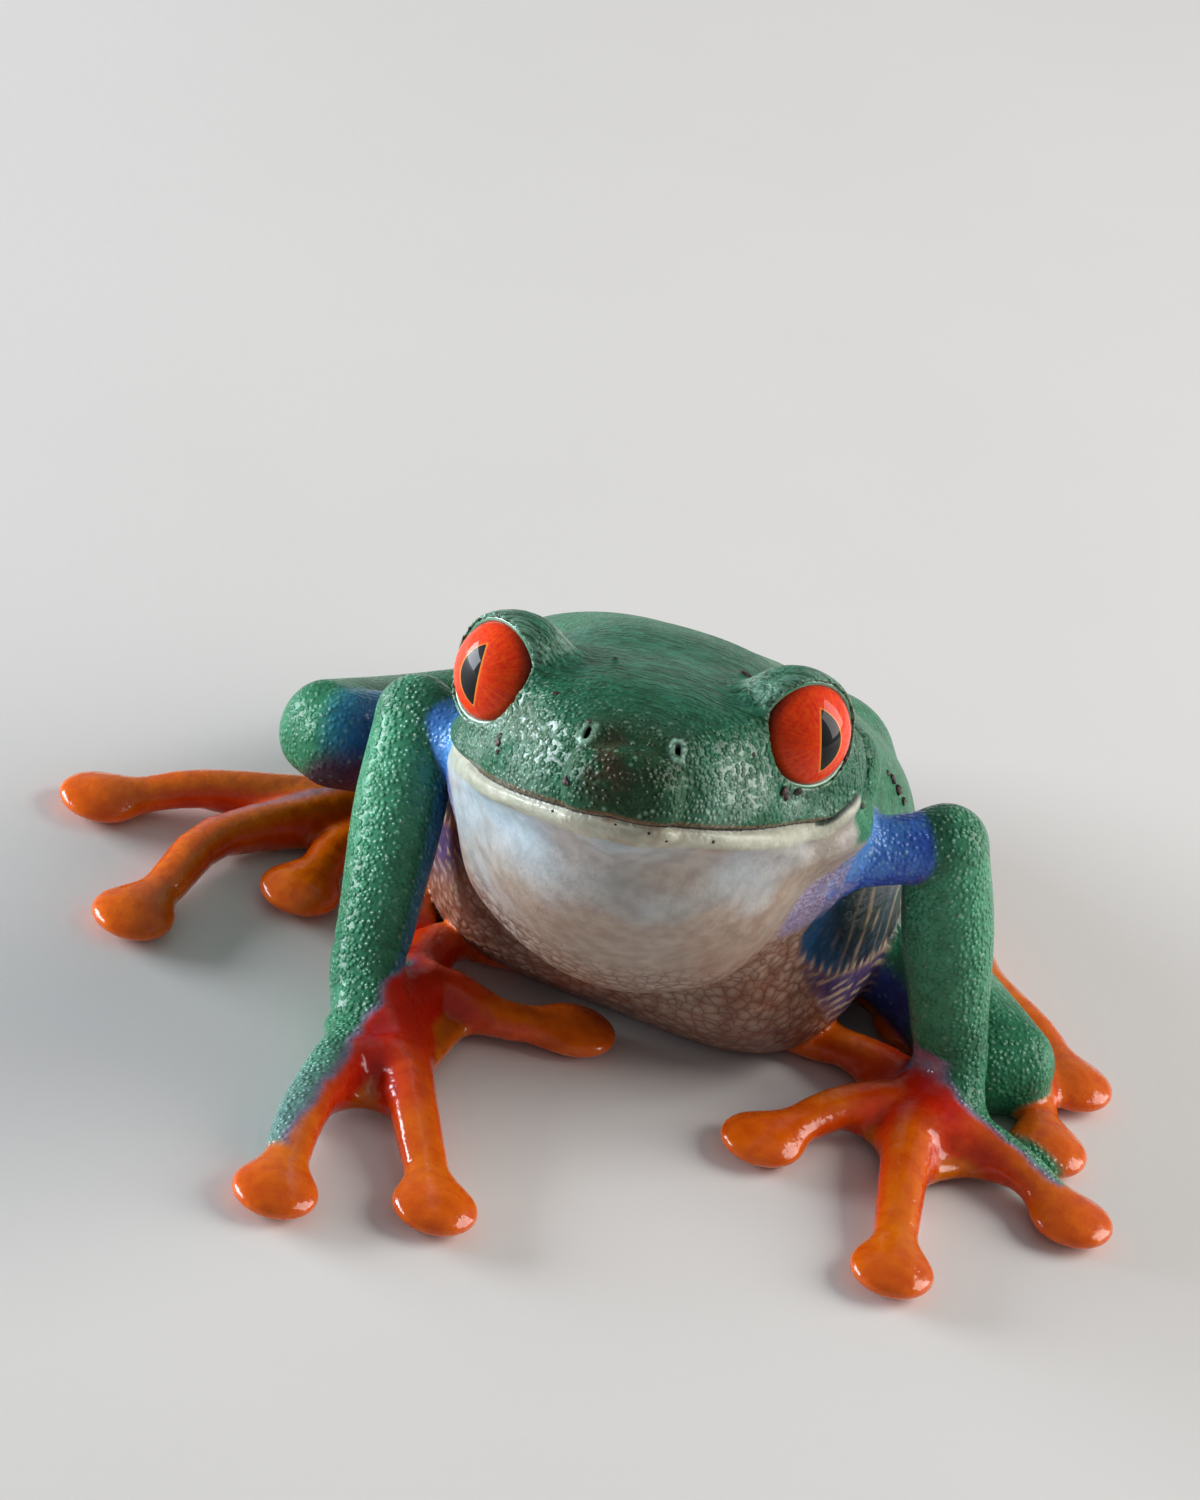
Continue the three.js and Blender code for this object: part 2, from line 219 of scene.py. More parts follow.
LEGS = {
    "right": {
        "hip": (-4.6, 16.5, 5.8),
        "thigh": (-11.8, 6.4, 4.9),
        "knee": (-18.9, -3.0, 7.9),
        "shank": (-18.2, 7.5, 4.2),
        "heel": (-12.6, 19.0, 2.8),
        "ankle": (-13.4, 6.4, 1.9),
        "digits": [
            [(-10.2, 3.6, 1.5), (-9.2, 1.2, 1.1), (-8.8, -2.2, 0.8)],
            [(-11.6, 1.8, 1.6), (-11.8, -1.6, 1.2), (-12.6, -6.2, 0.8)],
            [(-14.8, 1.6, 1.6), (-17.4, -2.4, 1.3), (-17.8, -7.4, 0.8)],
            [(-18.6, 0.4, 1.7), (-23.2, -6.4, 1.5), (-24.2, -15.5, 0.8)],
            [(-19.4, 1.2, 1.7), (-25.6, -2.4, 1.5), (-30.1, -6.1, 0.8)],
        ],
    },
    "left": {
        "hip": (3.4, 16.5, 6.0),
        "thigh": (9.8, 6.4, 4.4),
        "knee": (19.6, -1.1, 2.5),
        "shank": (13.0, 7.4, 2.4),
        "heel": (10.6, 19.0, 2.4),
        "ankle": (13.2, 11.0, 1.9),
        "digits": [
            [(12.4, 8.8, 1.4), (12.2, 7.0, 1.1), (12.3, 4.8, 0.8)],
            [(13.6, 7.4, 1.4), (14.1, 5.0, 1.1), (14.6, 2.2, 0.8)],
            [(14.6, 7.2, 1.4), (16.4, 4.0, 1.1), (17.8, 0.6, 0.8)],
            [(16.4, 6.4, 1.4), (21.0, 2.0, 1.1), (24.2, -4.4, 0.8)],
            [(17.2, 7.6, 1.4), (20.6, 5.6, 1.1), (23.6, 2.6, 0.8)],
        ],
    },
}
# y, height of the belly, height of the back, half width
TRUNK = [
    [-13.2, 10.2, 24.6, 7.3],
    [-9.5, 3.0, 24.6, 9.4],
    [-4.5, -0.5, 22.6, 11.8],
    [1, -0.3, 19.5, 13.0],
    [7, -0.2, 16.2, 12.3],
    [13, 0.2, 12.9, 10.2],
    [18, 1.0, 10.1, 7.6],
    [22, 2.0, 7.8, 4.8],
    [24.2, 2.7, 6.1, 2.5],
]
TRUNK_SWING = 0.07  # how far the trunk leans to the frog's right for each mm behind the shoulders
# The same in the head's own frame, where the snout points to -Y
SKULL = [
    [-8.7, -4.9, -0.9, 3.2],
    [-7.2, -5.5, 0.1, 5.1],
    [-4.6, -6.2, 1.2, 7.2],
    [-1.5, -6.6, 1.8, 8.7],
    [2.0, -7.5, 2.1, 9.8],
    [5.5, -8.4, 2.2, 10.2],
    [9.0, -10.1, 2.3, 9.7],
]
JAW = [
    [-8.3, -6.3, -3.8, 3.0],
    [-6.4, -6.8, -3.5, 5.3],
    [-3.5, -7.6, -3.3, 7.3],
    [0.0, -8.5, -3.2, 8.7],
    [4.0, -9.6, -3.0, 9.6],
    [8.0, -11.2, -2.8, 9.4],
]
THROAT = (0.35, 1.8, -7.4), (7.1, 7.4, 5.1)  # place and radii of the throat's soft sac in the head's frame
CHEEK = (8.5, 4.7, -2.9), (2.6, 3.6, 3.6)  # the same for the skin bunched behind the left corner of the mouth
NAPE = (9.2, 7.9, -3.0), (2.5, 2.9, 2.8)  # and for the neck behind that skin
CHEST = (0.2, -11.5, 13.2), (7.4, 7.6, 6.8)  # the same for the chest, in the frame of the world
HEAD_REACH = (-18, -99, 1), (18, 4, 99)  # corners of the region where the head is, in the world's frame
MOUTH = -4.7  # height of the line between the lips in the head's frame
NOTCH = (-0.35, MOUTH + 0.25)  # distance from the middle, and height, of the notch in the upper lip
NOSTRIL = (2.28, -0.95)  # the same for the nostril
NOSTRIL_LEAN = -12.0  # degrees
# Ridge from the left eye to the nostril
CANTHUS = [(4.8, -2.6, -0.5), (3.5, -5.8, -1.2), (2.1, -7.6, -1.6)]
# Line of the fold behind the left corner of the mouth
FOLD = [
    (9.3, 1.5, -4.65),
    (10.3, 2.3, -4.1),
    (10.8, 3.2, -3.6),
    (11.1, 4.9, -3.0),
    (11.05, 5.8, -2.3),
    (10.9, 6.0, -1.4),
    (10.6, 5.8, -0.4),
    (10.0, 4.7, 0.8),
]
# Depth and width of each crease below an eye, and the line that it follows
CREASES = [
    (0.16, 0.26, [(8.9, -1.6, -3.1), (7.0, -4.6, -2.9), (4.9, -6.6, -2.3)]),
    (0.10, 0.24, [(5.2, -4.9, -1.2), (3.9, -7.2, -1.6), (2.9, -8.6, -1.9)]),
]
DISC = (2.2, 2.25, 0.84)  # half width, half length and half thickness of the disc of a digit
# Small dark crumbs that cling to the skin: about where they lie in the head's frame, and their radius
CRUMBS = [
    (4.1, 3.5, 1.8, 0.32),
    (4.4, 3.3, 1.8, 0.20),
    (-2.2, -0.3, 1.9, 0.15),
    (-2.9, -9.8, -3.1, 0.30),
    (-7.1, -4.1, -2.4, 0.22),
    (-7.0, -4.2, -2.8, 0.24),
    (-6.8, -4.5, -3.2, 0.18),
    (7.6, -3.0, -2.6, 0.32),
    (7.8, -2.7, -3.0, 0.24),
    (8.2, -2.1, -2.8, 0.30),
    (-4.5, -5.2, 0.5, 0.20),
    (-2.3, -8.3, -0.1, 0.16),
    (10.0, 0.8, -1.0, 0.18),
    (6.0, -4.9, -0.7, 0.13),
    (11.4, 5.6, -4.0, 0.20),
    (11.8, 16.4, -3.9, 0.24),
    (12.1, 16.8, -4.3, 0.34),
    (12.4, 17.2, -4.9, 0.36),
    (12.8, 17.9, -5.5, 0.26),
    (-3.5, -8.3, -5.0, 0.09),
    (0.0, -9.8, -4.7, 0.09),
    (1.7, -9.5, -4.9, 0.08),
    (2.6, -9.0, -5.3, 0.09),
    (4.9, -7.2, -5.1, 0.10),
    (6.7, -4.7, -4.5, 0.08),
]


def turn(pitch, roll, yaw):
    """Head to world: roll about Y, then pitch about X, then yaw about Z."""
    rx = Matrix.Rotation(math.radians(-pitch), 3, "X")
    ry = Matrix.Rotation(math.radians(roll), 3, "Y")
    rz = Matrix.Rotation(math.radians(yaw), 3, "Z")
    return np.array(rz @ rx @ ry)


HEAD_TURN = turn(HEAD_PITCH, HEAD_ROLL, HEAD_YAW)


def to_head(p):
    return (p - HEAD_AT) @ HEAD_TURN


def from_head(p):
    return np.asarray(p, float) @ HEAD_TURN.T + HEAD_AT


def facing(side, out, lift):
    """Direction in the head's frame, turned out from straight ahead and up by those angles."""
    o, e = math.radians(out), math.radians(lift)
    return vec(side * math.sin(o) * math.cos(e), -math.cos(o) * math.cos(e), math.sin(e))


def lid_axes():
    """Where the lids of the left eye face, and the directions out and up across their opening."""
    gaze = facing(1, EYE_OUT, EYE_LIFT)
    above = unit(vec(0, 0, 1) - gaze * gaze[2])
    return gaze, np.cross(above, gaze), above


# ------------------------------------------------------------------ distances


class Limb:
    """A body along a smooth axis with elliptic sections. Each station is [place, half width, half depth]."""

    def __init__(self, stations, up=(0, 0, 1), samples=14, power=2.0, tip=1.0):
        rows = spline([[*place, wide, deep] for place, wide, deep in stations], samples)
        self.places, self.wide, self.deep = rows[:, :3], rows[:, 3], rows[:, 4]
        along = unit(np.gradient(self.places, axis=0))
        self.side = unit(np.cross(along, np.asarray(up, float)))
        self.above = np.cross(self.side, along)
        self.power, self.tip = power, tip
        reach = np.maximum(self.wide, self.deep).max() * max(1.0, tip) + LIMB_ROOM
        self.low, self.high = self.places.min(0) - reach, self.places.max(0) + reach

    def measure(self, p):
        """Distance of each point, how far along the nearest place is (0 to 1), and its two offsets there."""
        facts = np.zeros((4, len(p)))
        facts[0] = FAR
        near = within(p, self.low, self.high)
        if not len(near):
            return facts
        q, best = p[near], facts[:, near]
        spans = len(self.places) - 1
        for i in range(spans):
            a, b = self.places[i : i + 2]
            reach = max(*self.wide[i : i + 2], *self.deep[i : i + 2]) * max(1, self.tip) + LIMB_ROOM
            k = within(q, np.minimum(a, b) - reach, np.maximum(a, b) + reach)
            if not len(k):
                continue
            t, rel = nearest_on(q[k], a, b)
            side, above = (between(v[i], v[i + 1], t[:, None]) for v in (self.side, self.above))
            wide, deep = (between(v[i], v[i + 1], t) for v in (self.wide, self.deep))
            thin = np.minimum(wide, deep)
            s = (rel * side).sum(1)
            o = (rel * above).sum(1)
            e = np.sqrt(np.maximum((rel**2).sum(1) - s**2 - o**2, 0)) / (thin * self.tip)
            n = self.power
            k0 = (np.abs(s / wide) ** n + np.abs(o / deep) ** n + np.abs(e) ** n) ** (1 / n)
            length = np.sqrt((rel**2).sum(1))
            d = np.where(k0 > 1e-3, length * (1 - 1 / np.maximum(k0, 1e-3)), -thin)
            d = np.maximum(d, -thin)
            better = d < best[0, k]
            best[:, k[better]] = np.stack([d, (i + t) / spans, s / wide, o / deep])[:, better]
        facts[:, near] = best
        return facts

    def distance(self, p):
        return self.measure(p)[0]


def ball(p, centre, radius):
    """Distance to a ball."""
    return np.linalg.norm(p - np.asarray(centre, float), axis=1) - radius


def oval(p, centre, radii):
    """Nearly the distance to an ellipsoid."""
    q = (p - np.asarray(centre, float)) / np.asarray(radii, float)
    k0 = np.linalg.norm(q, axis=1)
    k1 = np.linalg.norm(q / np.asarray(radii, float), axis=1)
    return k0 * (k0 - 1) / np.maximum(k1, 1e-6)


def rope(p, points):
    """Distance to a broken line."""
    points = np.asarray(points, float)
    found = np.full(len(p), FAR)
    for a, b in zip(points[:-1], points[1:]):
        found = np.minimum(found, np.linalg.norm(nearest_on(p, a, b)[1], axis=1))
    return found


class Web:
    """The sheet of skin between two digits: a corner at the root, with a hollow outer edge."""

    def __init__(self, root, a, b, share, hollow=0.34, lift=0.95, thick=0.45):
        ends = [between(a[0], a[1], share)[:2], between(b[0], b[1], share)[:2]]
        root = np.asarray(root, float)[:2]
        middle = between(between(*ends, 0.5), root, hollow)
        t = np.linspace(0, 1, 9)[:, None]
        edge = (1 - t) ** 2 * ends[0] + 2 * t * (1 - t) * middle + t**2 * ends[1]
        self.outline = np.vstack([root, edge])
        self.lift, self.thick = lift, thick
        room = 2.2
        self.low = np.array([*(self.outline.min(0) - room), -2.0])
        self.high = np.array([*(self.outline.max(0) + room), 4.0])

    def distance(self, p):
        found = np.full(len(p), FAR)
        near = within(p, self.low, self.high)
        q = p[near]
        flat = np.full(len(near), FAR)
        inside = np.zeros(len(near), bool)
        for a, b in zip(self.outline, np.roll(self.outline, -1, 0)):
            flat = np.minimum(flat, np.linalg.norm(nearest_on(q[:, :2], a, b)[1], axis=1))
            run, rise = b - a
            crosses = (a[1] > q[:, 1]) != (b[1] > q[:, 1])
            inside ^= crosses & (q[:, 0] < a[0] + (q[:, 1] - a[1]) * run / (rise or 1e-9))
        flat = np.where(inside, -flat, flat)
        found[near] = np.hypot(np.maximum(flat, 0), np.abs(q[:, 2] - self.lift)) - self.thick
        return found


class Barrel:
    """Upright rounded sections along Y, each given by y, its lowest and highest place and its half width.

    A larger power makes the sections squarer. Their undersides have one of their own, which fades over the
    stretch called rounder. The caps say how far each end bulges, as a share of its smaller half size.
    """

    def __init__(self, sections, power, power_below, caps=(1.0, 1.0), rounder=BEYOND, swing=0.0):
        rows = spline(sections, 240)
        self.y, self.low_z, self.high_z, self.wide = rows.T
        self.power, self.power_below = power, power_below
        self.caps, self.rounder, self.swing = caps, rounder, swing
        half = self.wide.max()
        self.low = vec(-half, self.y[0], self.low_z.min()) - BARREL_ROOM
        self.high = vec(half, self.y[-1], self.high_z.max()) + BARREL_ROOM

    def measure(self, p):
        """Distance of each point, and its offsets across and above the middle of its section."""
        facts = np.zeros((3, len(p)))
        facts[0] = FAR
        near = within(p, self.low, self.high)
        q = p[near]
        y = np.clip(q[:, 1], self.y[0], self.y[-1])
        low, high, wide = (np.interp(y, self.y, values) for values in (self.low_z, self.high_z, self.wide))
        deep = (high - low) / 2
        s = (q[:, 0] + self.swing * np.maximum(y - self.y[0], 0)) / wide
        o = (q[:, 2] - (high + low) / 2) / deep
        e = (q[:, 1] - y) / (np.where(q[:, 1] > y, self.caps[1], self.caps[0]) * np.minimum(wide, deep))
        flat = step(0.05, -0.25, o) * step(self.rounder[1], self.rounder[0], q[:, 1])
        n = self.power + (self.power_below - self.power) * flat
        k0 = (np.abs(s) ** n + np.abs(o) ** n + np.abs(e) ** n) ** (1 / n)
        length = np.sqrt((s * wide) ** 2 + (o * deep) ** 2 + (q[:, 1] - y) ** 2)
        d = length * (1 - 1 / np.maximum(k0, 1e-3)) * 0.9
        facts[:, near] = np.stack([np.where(k0 > 1e-3, d, -deep), s, o])
        return facts

    def distance(self, p):
        return self.measure(p)[0]


def upper_arm(a):
    middle = between(a["shoulder"], a["elbow"], 0.55)
    return Limb([[a["shoulder"], 2.4, 2.3], [middle, 1.85, 1.8], [a["elbow"], 2.0, 2.0]], samples=10)


def forearm(a):
    return Limb(
        [
            [a["elbow"], 2.2, 2.2],
            [between(a["elbow"], a["wrist"], 0.35), 2.45, 2.3],
            [between(a["elbow"], a["wrist"], 0.75), 2.1, 1.9],
            [a["wrist"], 1.95, 1.6],
            [a["palm"], 1.8, 1.4],
        ],
        up=(0, 1, 0),
        samples=16,
    )


def palm(a):
    knuckles = between(a["digits"][2][0], a["digits"][3][0], 0.4)
    start = between(a["wrist"], a["palm"], 0.6)
    return Limb([[start, 2.0, 1.4], [a["palm"], 2.7, 1.45], [knuckles, 2.2, 1.15]], samples=9, tip=0.8)


def digit(root, line, wide=1.28):
    knuckle, middle, end = line
    return Limb(
        [
            [between(root, knuckle, 0.3), wide + 0.15, 1.05],
            [knuckle, wide + 0.08, 1.08],
            [middle, wide - 0.02, 0.98],
            [between(middle, end, 0.62), wide - 0.12, 0.84],
            [end, wide, 0.8],
        ],
        samples=13,
    )


def thigh(g):
    return Limb(
        [
            [g["hip"], 4.0, 4.0],
            [between(g["hip"], g["thigh"], 0.6), 3.8, 3.8],
            [g["thigh"], 3.4, 3.4],
            [between(g["thigh"], g["knee"], 0.6), 2.9, 2.9],
            [g["knee"], 2.6, 2.75],
        ],
        samples=14,
    )


def shank(g):
    out = math.copysign(1.2, g["knee"][0])
    start = np.asarray(g["knee"], float) + (out, 0.4, 0)
    calf = between(g["shank"], g["heel"], 0.6)
    return Limb([[start, 2.2, 2.65], [g["shank"], 2.5, 2.5], [calf, 2.1, 2.2], [g["heel"], 1.8, 2.0]])


def tarsus(g):
    middle = between(g["heel"], g["ankle"], 0.5)
    return Limb([[g["heel"], 1.8, 1.8], [middle, 1.6, 1.5], [g["ankle"], 1.9, 1.5]], samples=9)


def sole(g):
    knuckle = g["digits"][2][0]
    middle = between(g["ankle"], knuckle, 0.6)
    return Limb([[g["ankle"], 1.9, 1.5], [middle, 2.8, 1.4], [knuckle, 2.6, 1.2]], samples=9, tip=0.6)


def disc(p, line):
    """The flat round pad at the end of a digit, turned along it."""
    middle, end = (np.asarray(place, float) for place in line[1:])
    along = unit((end - middle) * (1, 1, 0))
    side = vec(-along[1], along[0], 0)
    q = p - (end + along * 0.15 + (0, 0, 0.12))
    return oval(np.stack([q @ side, q @ along, q[:, 2]], 1), (0, 0, 0), DISC)


class Hand:
    """A hand or a foot: the palm or sole, its digits with their discs, and the webs between them."""

    def __init__(self, root_limb, root, lines, share):
        self.root_limb = root_limb
        self.lines = lines
        self.digits = [digit(root, line) for line in lines]
        self.webs = [Web(root, a, b, share) for a, b in zip(lines[:-1], lines[1:])]
        bounds = np.array([v for line in lines for v in line] + [root], float)
        self.low, self.high = bounds.min(0) - 6, bounds.max(0) + 6

    def measure(self, p):
        """Distance, and five facts about each point.

        They are the number of the nearest digit, how far along and across it the point is, and how far it
        belongs to a web and to a disc.
        """
        found = np.full(len(p), FAR)
        facts = {name: np.zeros(len(p)) for name in ("digit", "share", "across", "web", "disc")}
        near = within(p, self.low, self.high)
        if not len(near):
            return found, facts
        q = p[near]
        root = self.root_limb.distance(q)
        d = root
        nearest, web, pads = np.full((3, len(near)), FAR)
        number, share, across = np.zeros((3, len(near)))
        for i, (limb, line) in enumerate(zip(self.digits, self.lines)):
            one, t, s, _ = limb.measure(q)
            pad = np.full(len(near), FAR)
            close = np.nonzero(ball(q, line[2], 5.0) < 0)[0]
            pad[close] = disc(q[close], line)
            pads = np.minimum(pads, pad)
            one = join(one, pad, 0.9)
            better = one < nearest
            nearest = np.where(better, one, nearest)
            number = np.where(better, i + 1, number)
            share = np.where(better, t, share)
            across = np.where(better, s, across)
            d = join(d, one, 0.9)
        for sheet in self.webs:
            web = np.minimum(web, sheet.distance(q))
        found[near] = join(d, web, 1.1)
        webbed = step(0.0, 0.7, np.minimum(nearest, root) - web)
        for name, values in zip(facts, (number, share, across, webbed, step(0.5, -0.3, pads))):
            facts[name][near] = values
        return found, facts


class Frog:
    """Every limb of the frog, and the distance to the whole of it."""

    def __init__(self, radius, spread, opening):
        self.radius, self.opening = radius, opening
        self.eye_at = vec(spread, 0, 0)
        self.lids = lid_axes()
        self.slit_turn = np.array(Matrix.Rotation(math.radians(NOSTRIL_LEAN), 3, "Y"))
        self.trunk = Barrel(TRUNK, 2.4, 5.0, caps=(0.6, 1.3), rounder=(11.0, 21.0), swing=TRUNK_SWING)
        self.skull = Barrel(SKULL, 2.35, 2.35)
        self.jaw = Barrel(JAW, 2.2, 1.65)
        self.nostril = self.front_of_skull(*NOSTRIL)
        self.notch = self.front_of_skull(*NOTCH)
        self.creases, self.fold = [], None
        self.parts = {}
        for name in ("right", "left"):
            a, g = ARMS[name], LEGS[name]
            self.parts[name] = {
                "upper_arm": upper_arm(a),
                "forearm": forearm(a),
                "hand": Hand(palm(a), a["palm"], a["digits"], 0.72),
                "thigh": thigh(g),
                "shank": shank(g),
                "tarsus": tarsus(g),
                "foot": Hand(sole(g), g["ankle"], g["digits"], 0.9),
            }
        # creases are laid on to the skin before they are pressed into it
        self.fold = self.on_skin(FOLD, self.body)
        creases = []
        for sign in (1, -1):
            for depth, width, line in CREASES:
                creases.append((self.on_skin([(sign * x, y, z) for x, y, z in line]), depth, width))
        self.creases = creases

    def on_skin(self, line, distance=None):
        """A line in the head's frame, drawn smooth and moved on to the skin."""
        points, _ = settled(from_head(spline(line, 24)), distance or self.head, rounds=10)
        return to_head(points)

    def front_of_skull(self, x, z):
        """The place on the front of the skull at that height and distance from the middle."""
        line = np.column_stack([np.full(400, x), np.linspace(-14, -2, 400), np.full(400, z)])
        return line[np.argmax(self.skull.distance(line) < 0)]

    def head(self, p):
        """Distance to the head for points in the frame of the world."""
        found = np.full(len(p), FAR)
        near = within(p, *HEAD_REACH)
        if not len(near):
            return found
        q = to_head(p[near])
        mirrored = left_side(q)
        # the skull narrows upwards and the jaw downwards
        skull = self.skull.distance(widened(q, 1 + 0.17 * step(-4.4, -1.2, q[:, 2])))
        jaw = self.jaw.distance(widened(q, 1 + 0.12 * step(-4.9, -6.8, q[:, 2])))
        # ridge from the eye to the nostril, and the mound of the nostril
        skull = join(skull, rope(mirrored, CANTHUS) - 1.15, 1.0)
        skull = join(skull, ball(mirrored, self.nostril + (-0.1, 0.45, -0.05), 0.72), 0.6)
        # bulge round the eye
        r = mirrored - self.eye_at
        reach = np.linalg.norm(r, axis=1)
        skull = join(skull, reach - self.radius - 0.26, 1.3)
        d = join(skull, join(jaw, oval(q, *THROAT), 3.0), 0.3)
        # groove between the lips, and the overhang of the upper one
        level = q[:, 2] - self.mouth(q)
        front = step(8.2, 6.6, q[:, 1])
        d = d - 0.12 * bump(level, 0.34, 0.36) * front
        d = d + 0.24 * bump(level, -0.06, 0.13) * front
        # shallow step below the lower lip
        d = d + 0.05 * bump(level, -1.25, 0.25) * front
        # opening between the lids, with a fine rim
        ahead = r @ self.lids[0]
        edge = self.lid_edge(r)
        rim = np.where(ahead > 0, np.hypot(edge - 0.33, reach - self.radius - 0.10) - 0.22, FAR)
        d = join(d, rim, 0.30)
        d = carve(d, np.maximum(edge - 0.09, 0.5 - ahead), 0.08)
        # nostrils: slits that lean back, each in a raised ring
        slit = self.nostril_slit(mirrored)
        d = carve(d - 0.09 * bump(slit, 0.18, 0.11), slit, 0.10)
        # notch in the middle of the upper lip
        d = carve(d, ball(q, self.notch, 0.30), 0.25)
        # fold behind the corner of the mouth, and creases of the lower lid
        d = join(d, oval(q, *CHEEK), 1.4)
        for line, depth, width in self.creases:
            d = d + depth * bump(rope(q, line), 0, width)
        found[near] = d
        return found

    def nostril_slit(self, mirrored):
        local = (mirrored - self.nostril) @ self.slit_turn
        return oval(local, (0, -0.15, 0.12), (0.12, 0.34, 0.36))

    def lid_edge(self, r):
        """How far points round an eye are outside the opening between the lids, seen from ahead of it."""
        out, up = r @ self.lids[1], r @ self.lids[2]
        return (np.sqrt((out / self.opening[0]) ** 2 + (up / self.opening[1]) ** 2) - 1) * self.opening[1]

    def mouth(self, q):
        """Height of the line between the lips, in the head's frame."""
        sides = 1.3 * step(3.0, 8.5, q[:, 1])
        corner = 1.2 * step(9.4, 11.2, q[:, 0]) * step(1.0, 3.0, q[:, 1]) * step(6.0, 4.8, q[:, 1])
        middle = 0.25 * bump(q[:, 0], 0, 5.5) + 0.12 * bump(q[:, 0], -0.35, 1.0)
        return MOUTH + 0.02 * q[:, 0] + sides + corner + middle

    def beside_fold(self, p):
        """1 along the fold behind the left corner of the mouth, where the head meets the neck in a crease."""
        return np.exp(-((rope(to_head(p), FOLD) / 1.6) ** 4))

    def body(self, p, pressed=True):
        """Head and trunk, with the fold between them unless pressed is false."""
        q = to_head(p)
        trunk = join(join(self.trunk.distance(p), oval(p, *CHEST), 2.5), oval(q, *NAPE), 2.0)
        below = step(-3.0, -6.5, q[:, 2]) * 5.0
        body = join(trunk, self.head(p), (0.9 + below) * (1 - 0.8 * self.beside_fold(p)))
        if self.fold is None or not pressed:
            return body
        near = np.nonzero((p[:, 0] > 5) & (p[:, 1] < -5) & (p[:, 2] > 15))[0]
        body[near] += 0.50 * bump(rope(to_head(p[near]), self.fold), 0, 0.28)
        return body

    def distance(self, p):
        body = self.body(p)
        whole = body
        for parts in self.parts.values():
            arm, root, _, _ = parts["upper_arm"].measure(p)
            fore, t, _, _ = parts["forearm"].measure(p)
            fore = fore + 0.10 * bump(t, 0.61, 0.013)
            hand, _ = parts["hand"].measure(p)
            whole = join(whole, arm, 0.9 + 1.9 * step(0.5, 0.1, root))
            whole = np.minimum(whole, join(join(arm, fore, 0.45), hand, 1.3))
            leg, calf = parts["thigh"].distance(p), parts["shank"].distance(p)
            heel = parts["tarsus"].distance(p)
            foot, _ = parts["foot"].measure(p)
            whole = np.minimum(whole, join(body, leg, 1.2))
            whole = np.minimum(whole, join(leg, calf, 0.35))
            whole = np.minimum(whole, join(join(calf, heel, 0.6), foot, 0.6))
        return np.maximum(whole, 0.02 - p[:, 2])


# ------------------------------------------------------------------ mesh of a distance


def sampled(distance, low, high, cell):
    """Values of the distance on a grid, worked out only near its surface."""
    block = 4
    counts = (np.ceil((high - low) / (cell * block))).astype(int)
    axes = [low[i] + (np.arange(counts[i]) + 0.5) * cell * block - cell / 2 for i in range(3)]
    coarse = np.concatenate([distance(part) for part in np.array_split(lattice(*axes), 4)])
    values = coarse.reshape(counts).astype(np.float32)
    for axis in range(3):
        values = np.repeat(values, block, axis)
    active = np.nonzero(np.abs(coarse) < cell * block * 1.5)[0]
    offsets = lattice(*[np.arange(block)] * 3)
    corner = np.stack(np.unravel_index(active, counts), -1) * block
    for part in np.array_split(np.arange(len(active)), max(1, len(active) // 6000)):
        index = (corner[part][:, None, :] + offsets[None]).reshape(-1, 3)
        values[index[:, 0], index[:, 1], index[:, 2]] = distance(low + index * cell)
    return values


def netted(values, low, cell):
    """A closed mesh of quads where the values cross zero: one vertex in each crossed cell."""
    inside = values < 0
    shape = np.array(values.shape) - 1
    some = np.zeros(shape, bool)
    every = np.ones(shape, bool)
    for c in np.ndindex(2, 2, 2):
        part = inside[c[0] : c[0] + shape[0], c[1] : c[1] + shape[1], c[2] : c[2] + shape[2]]
        some |= part
        every &= part
    cells = np.stack(np.nonzero(some & ~every), -1)
    strides = np.array([shape[1] * shape[2], shape[2], 1])
    ids = cells @ strides
    corners = {c: values[tuple((cells + c).T)] for c in np.ndindex(2, 2, 2)}
    total, count = np.zeros((len(cells), 3)), np.zeros(len(cells))
    for a in corners:
        for axis in range(3):
            if a[axis]:
                continue
            b = tuple(1 if i == axis else a[i] for i in range(3))
            va, vb = corners[a], corners[b]
            cross = (va < 0) != (vb < 0)
            t = np.where(cross, va / np.where(cross, va - vb, 1), 0)
            at = np.tile(np.array(a, float), (len(cells), 1))
            at[:, axis] = t
            total += at * cross[:, None]
            count += cross
    points = low + (cells + total / count[:, None]) * cell
    quads = []
    for axis in range(3):
        n1, n2 = (axis + 1) % 3, (axis + 2) % 3
        first = [slice(None)] * 3
        second = [slice(None)] * 3
        first[axis], second[axis] = slice(0, -1), slice(1, None)
        change = inside[tuple(first)] != inside[tuple(second)]
        at = np.stack(np.nonzero(change), -1)
        ok = (at[:, n1] > 0) & (at[:, n2] > 0) & (at[:, n1] < shape[n1]) & (at[:, n2] < shape[n2])
        at = at[ok]
        starts = inside[at[:, 0], at[:, 1], at[:, 2]]
        ring = []
        for d1, d2 in ((0, 0), (1, 0), (1, 1), (0, 1)):
            cell_at = at.copy()
            cell_at[:, n1] -= d1
            cell_at[:, n2] -= d2
            ring.append(np.searchsorted(ids, cell_at @ strides))
        ring = np.stack(ring, 1)
        quads.append(np.where(starts[:, None], ring, ring[:, ::-1]))
    return points, np.concatenate(quads)


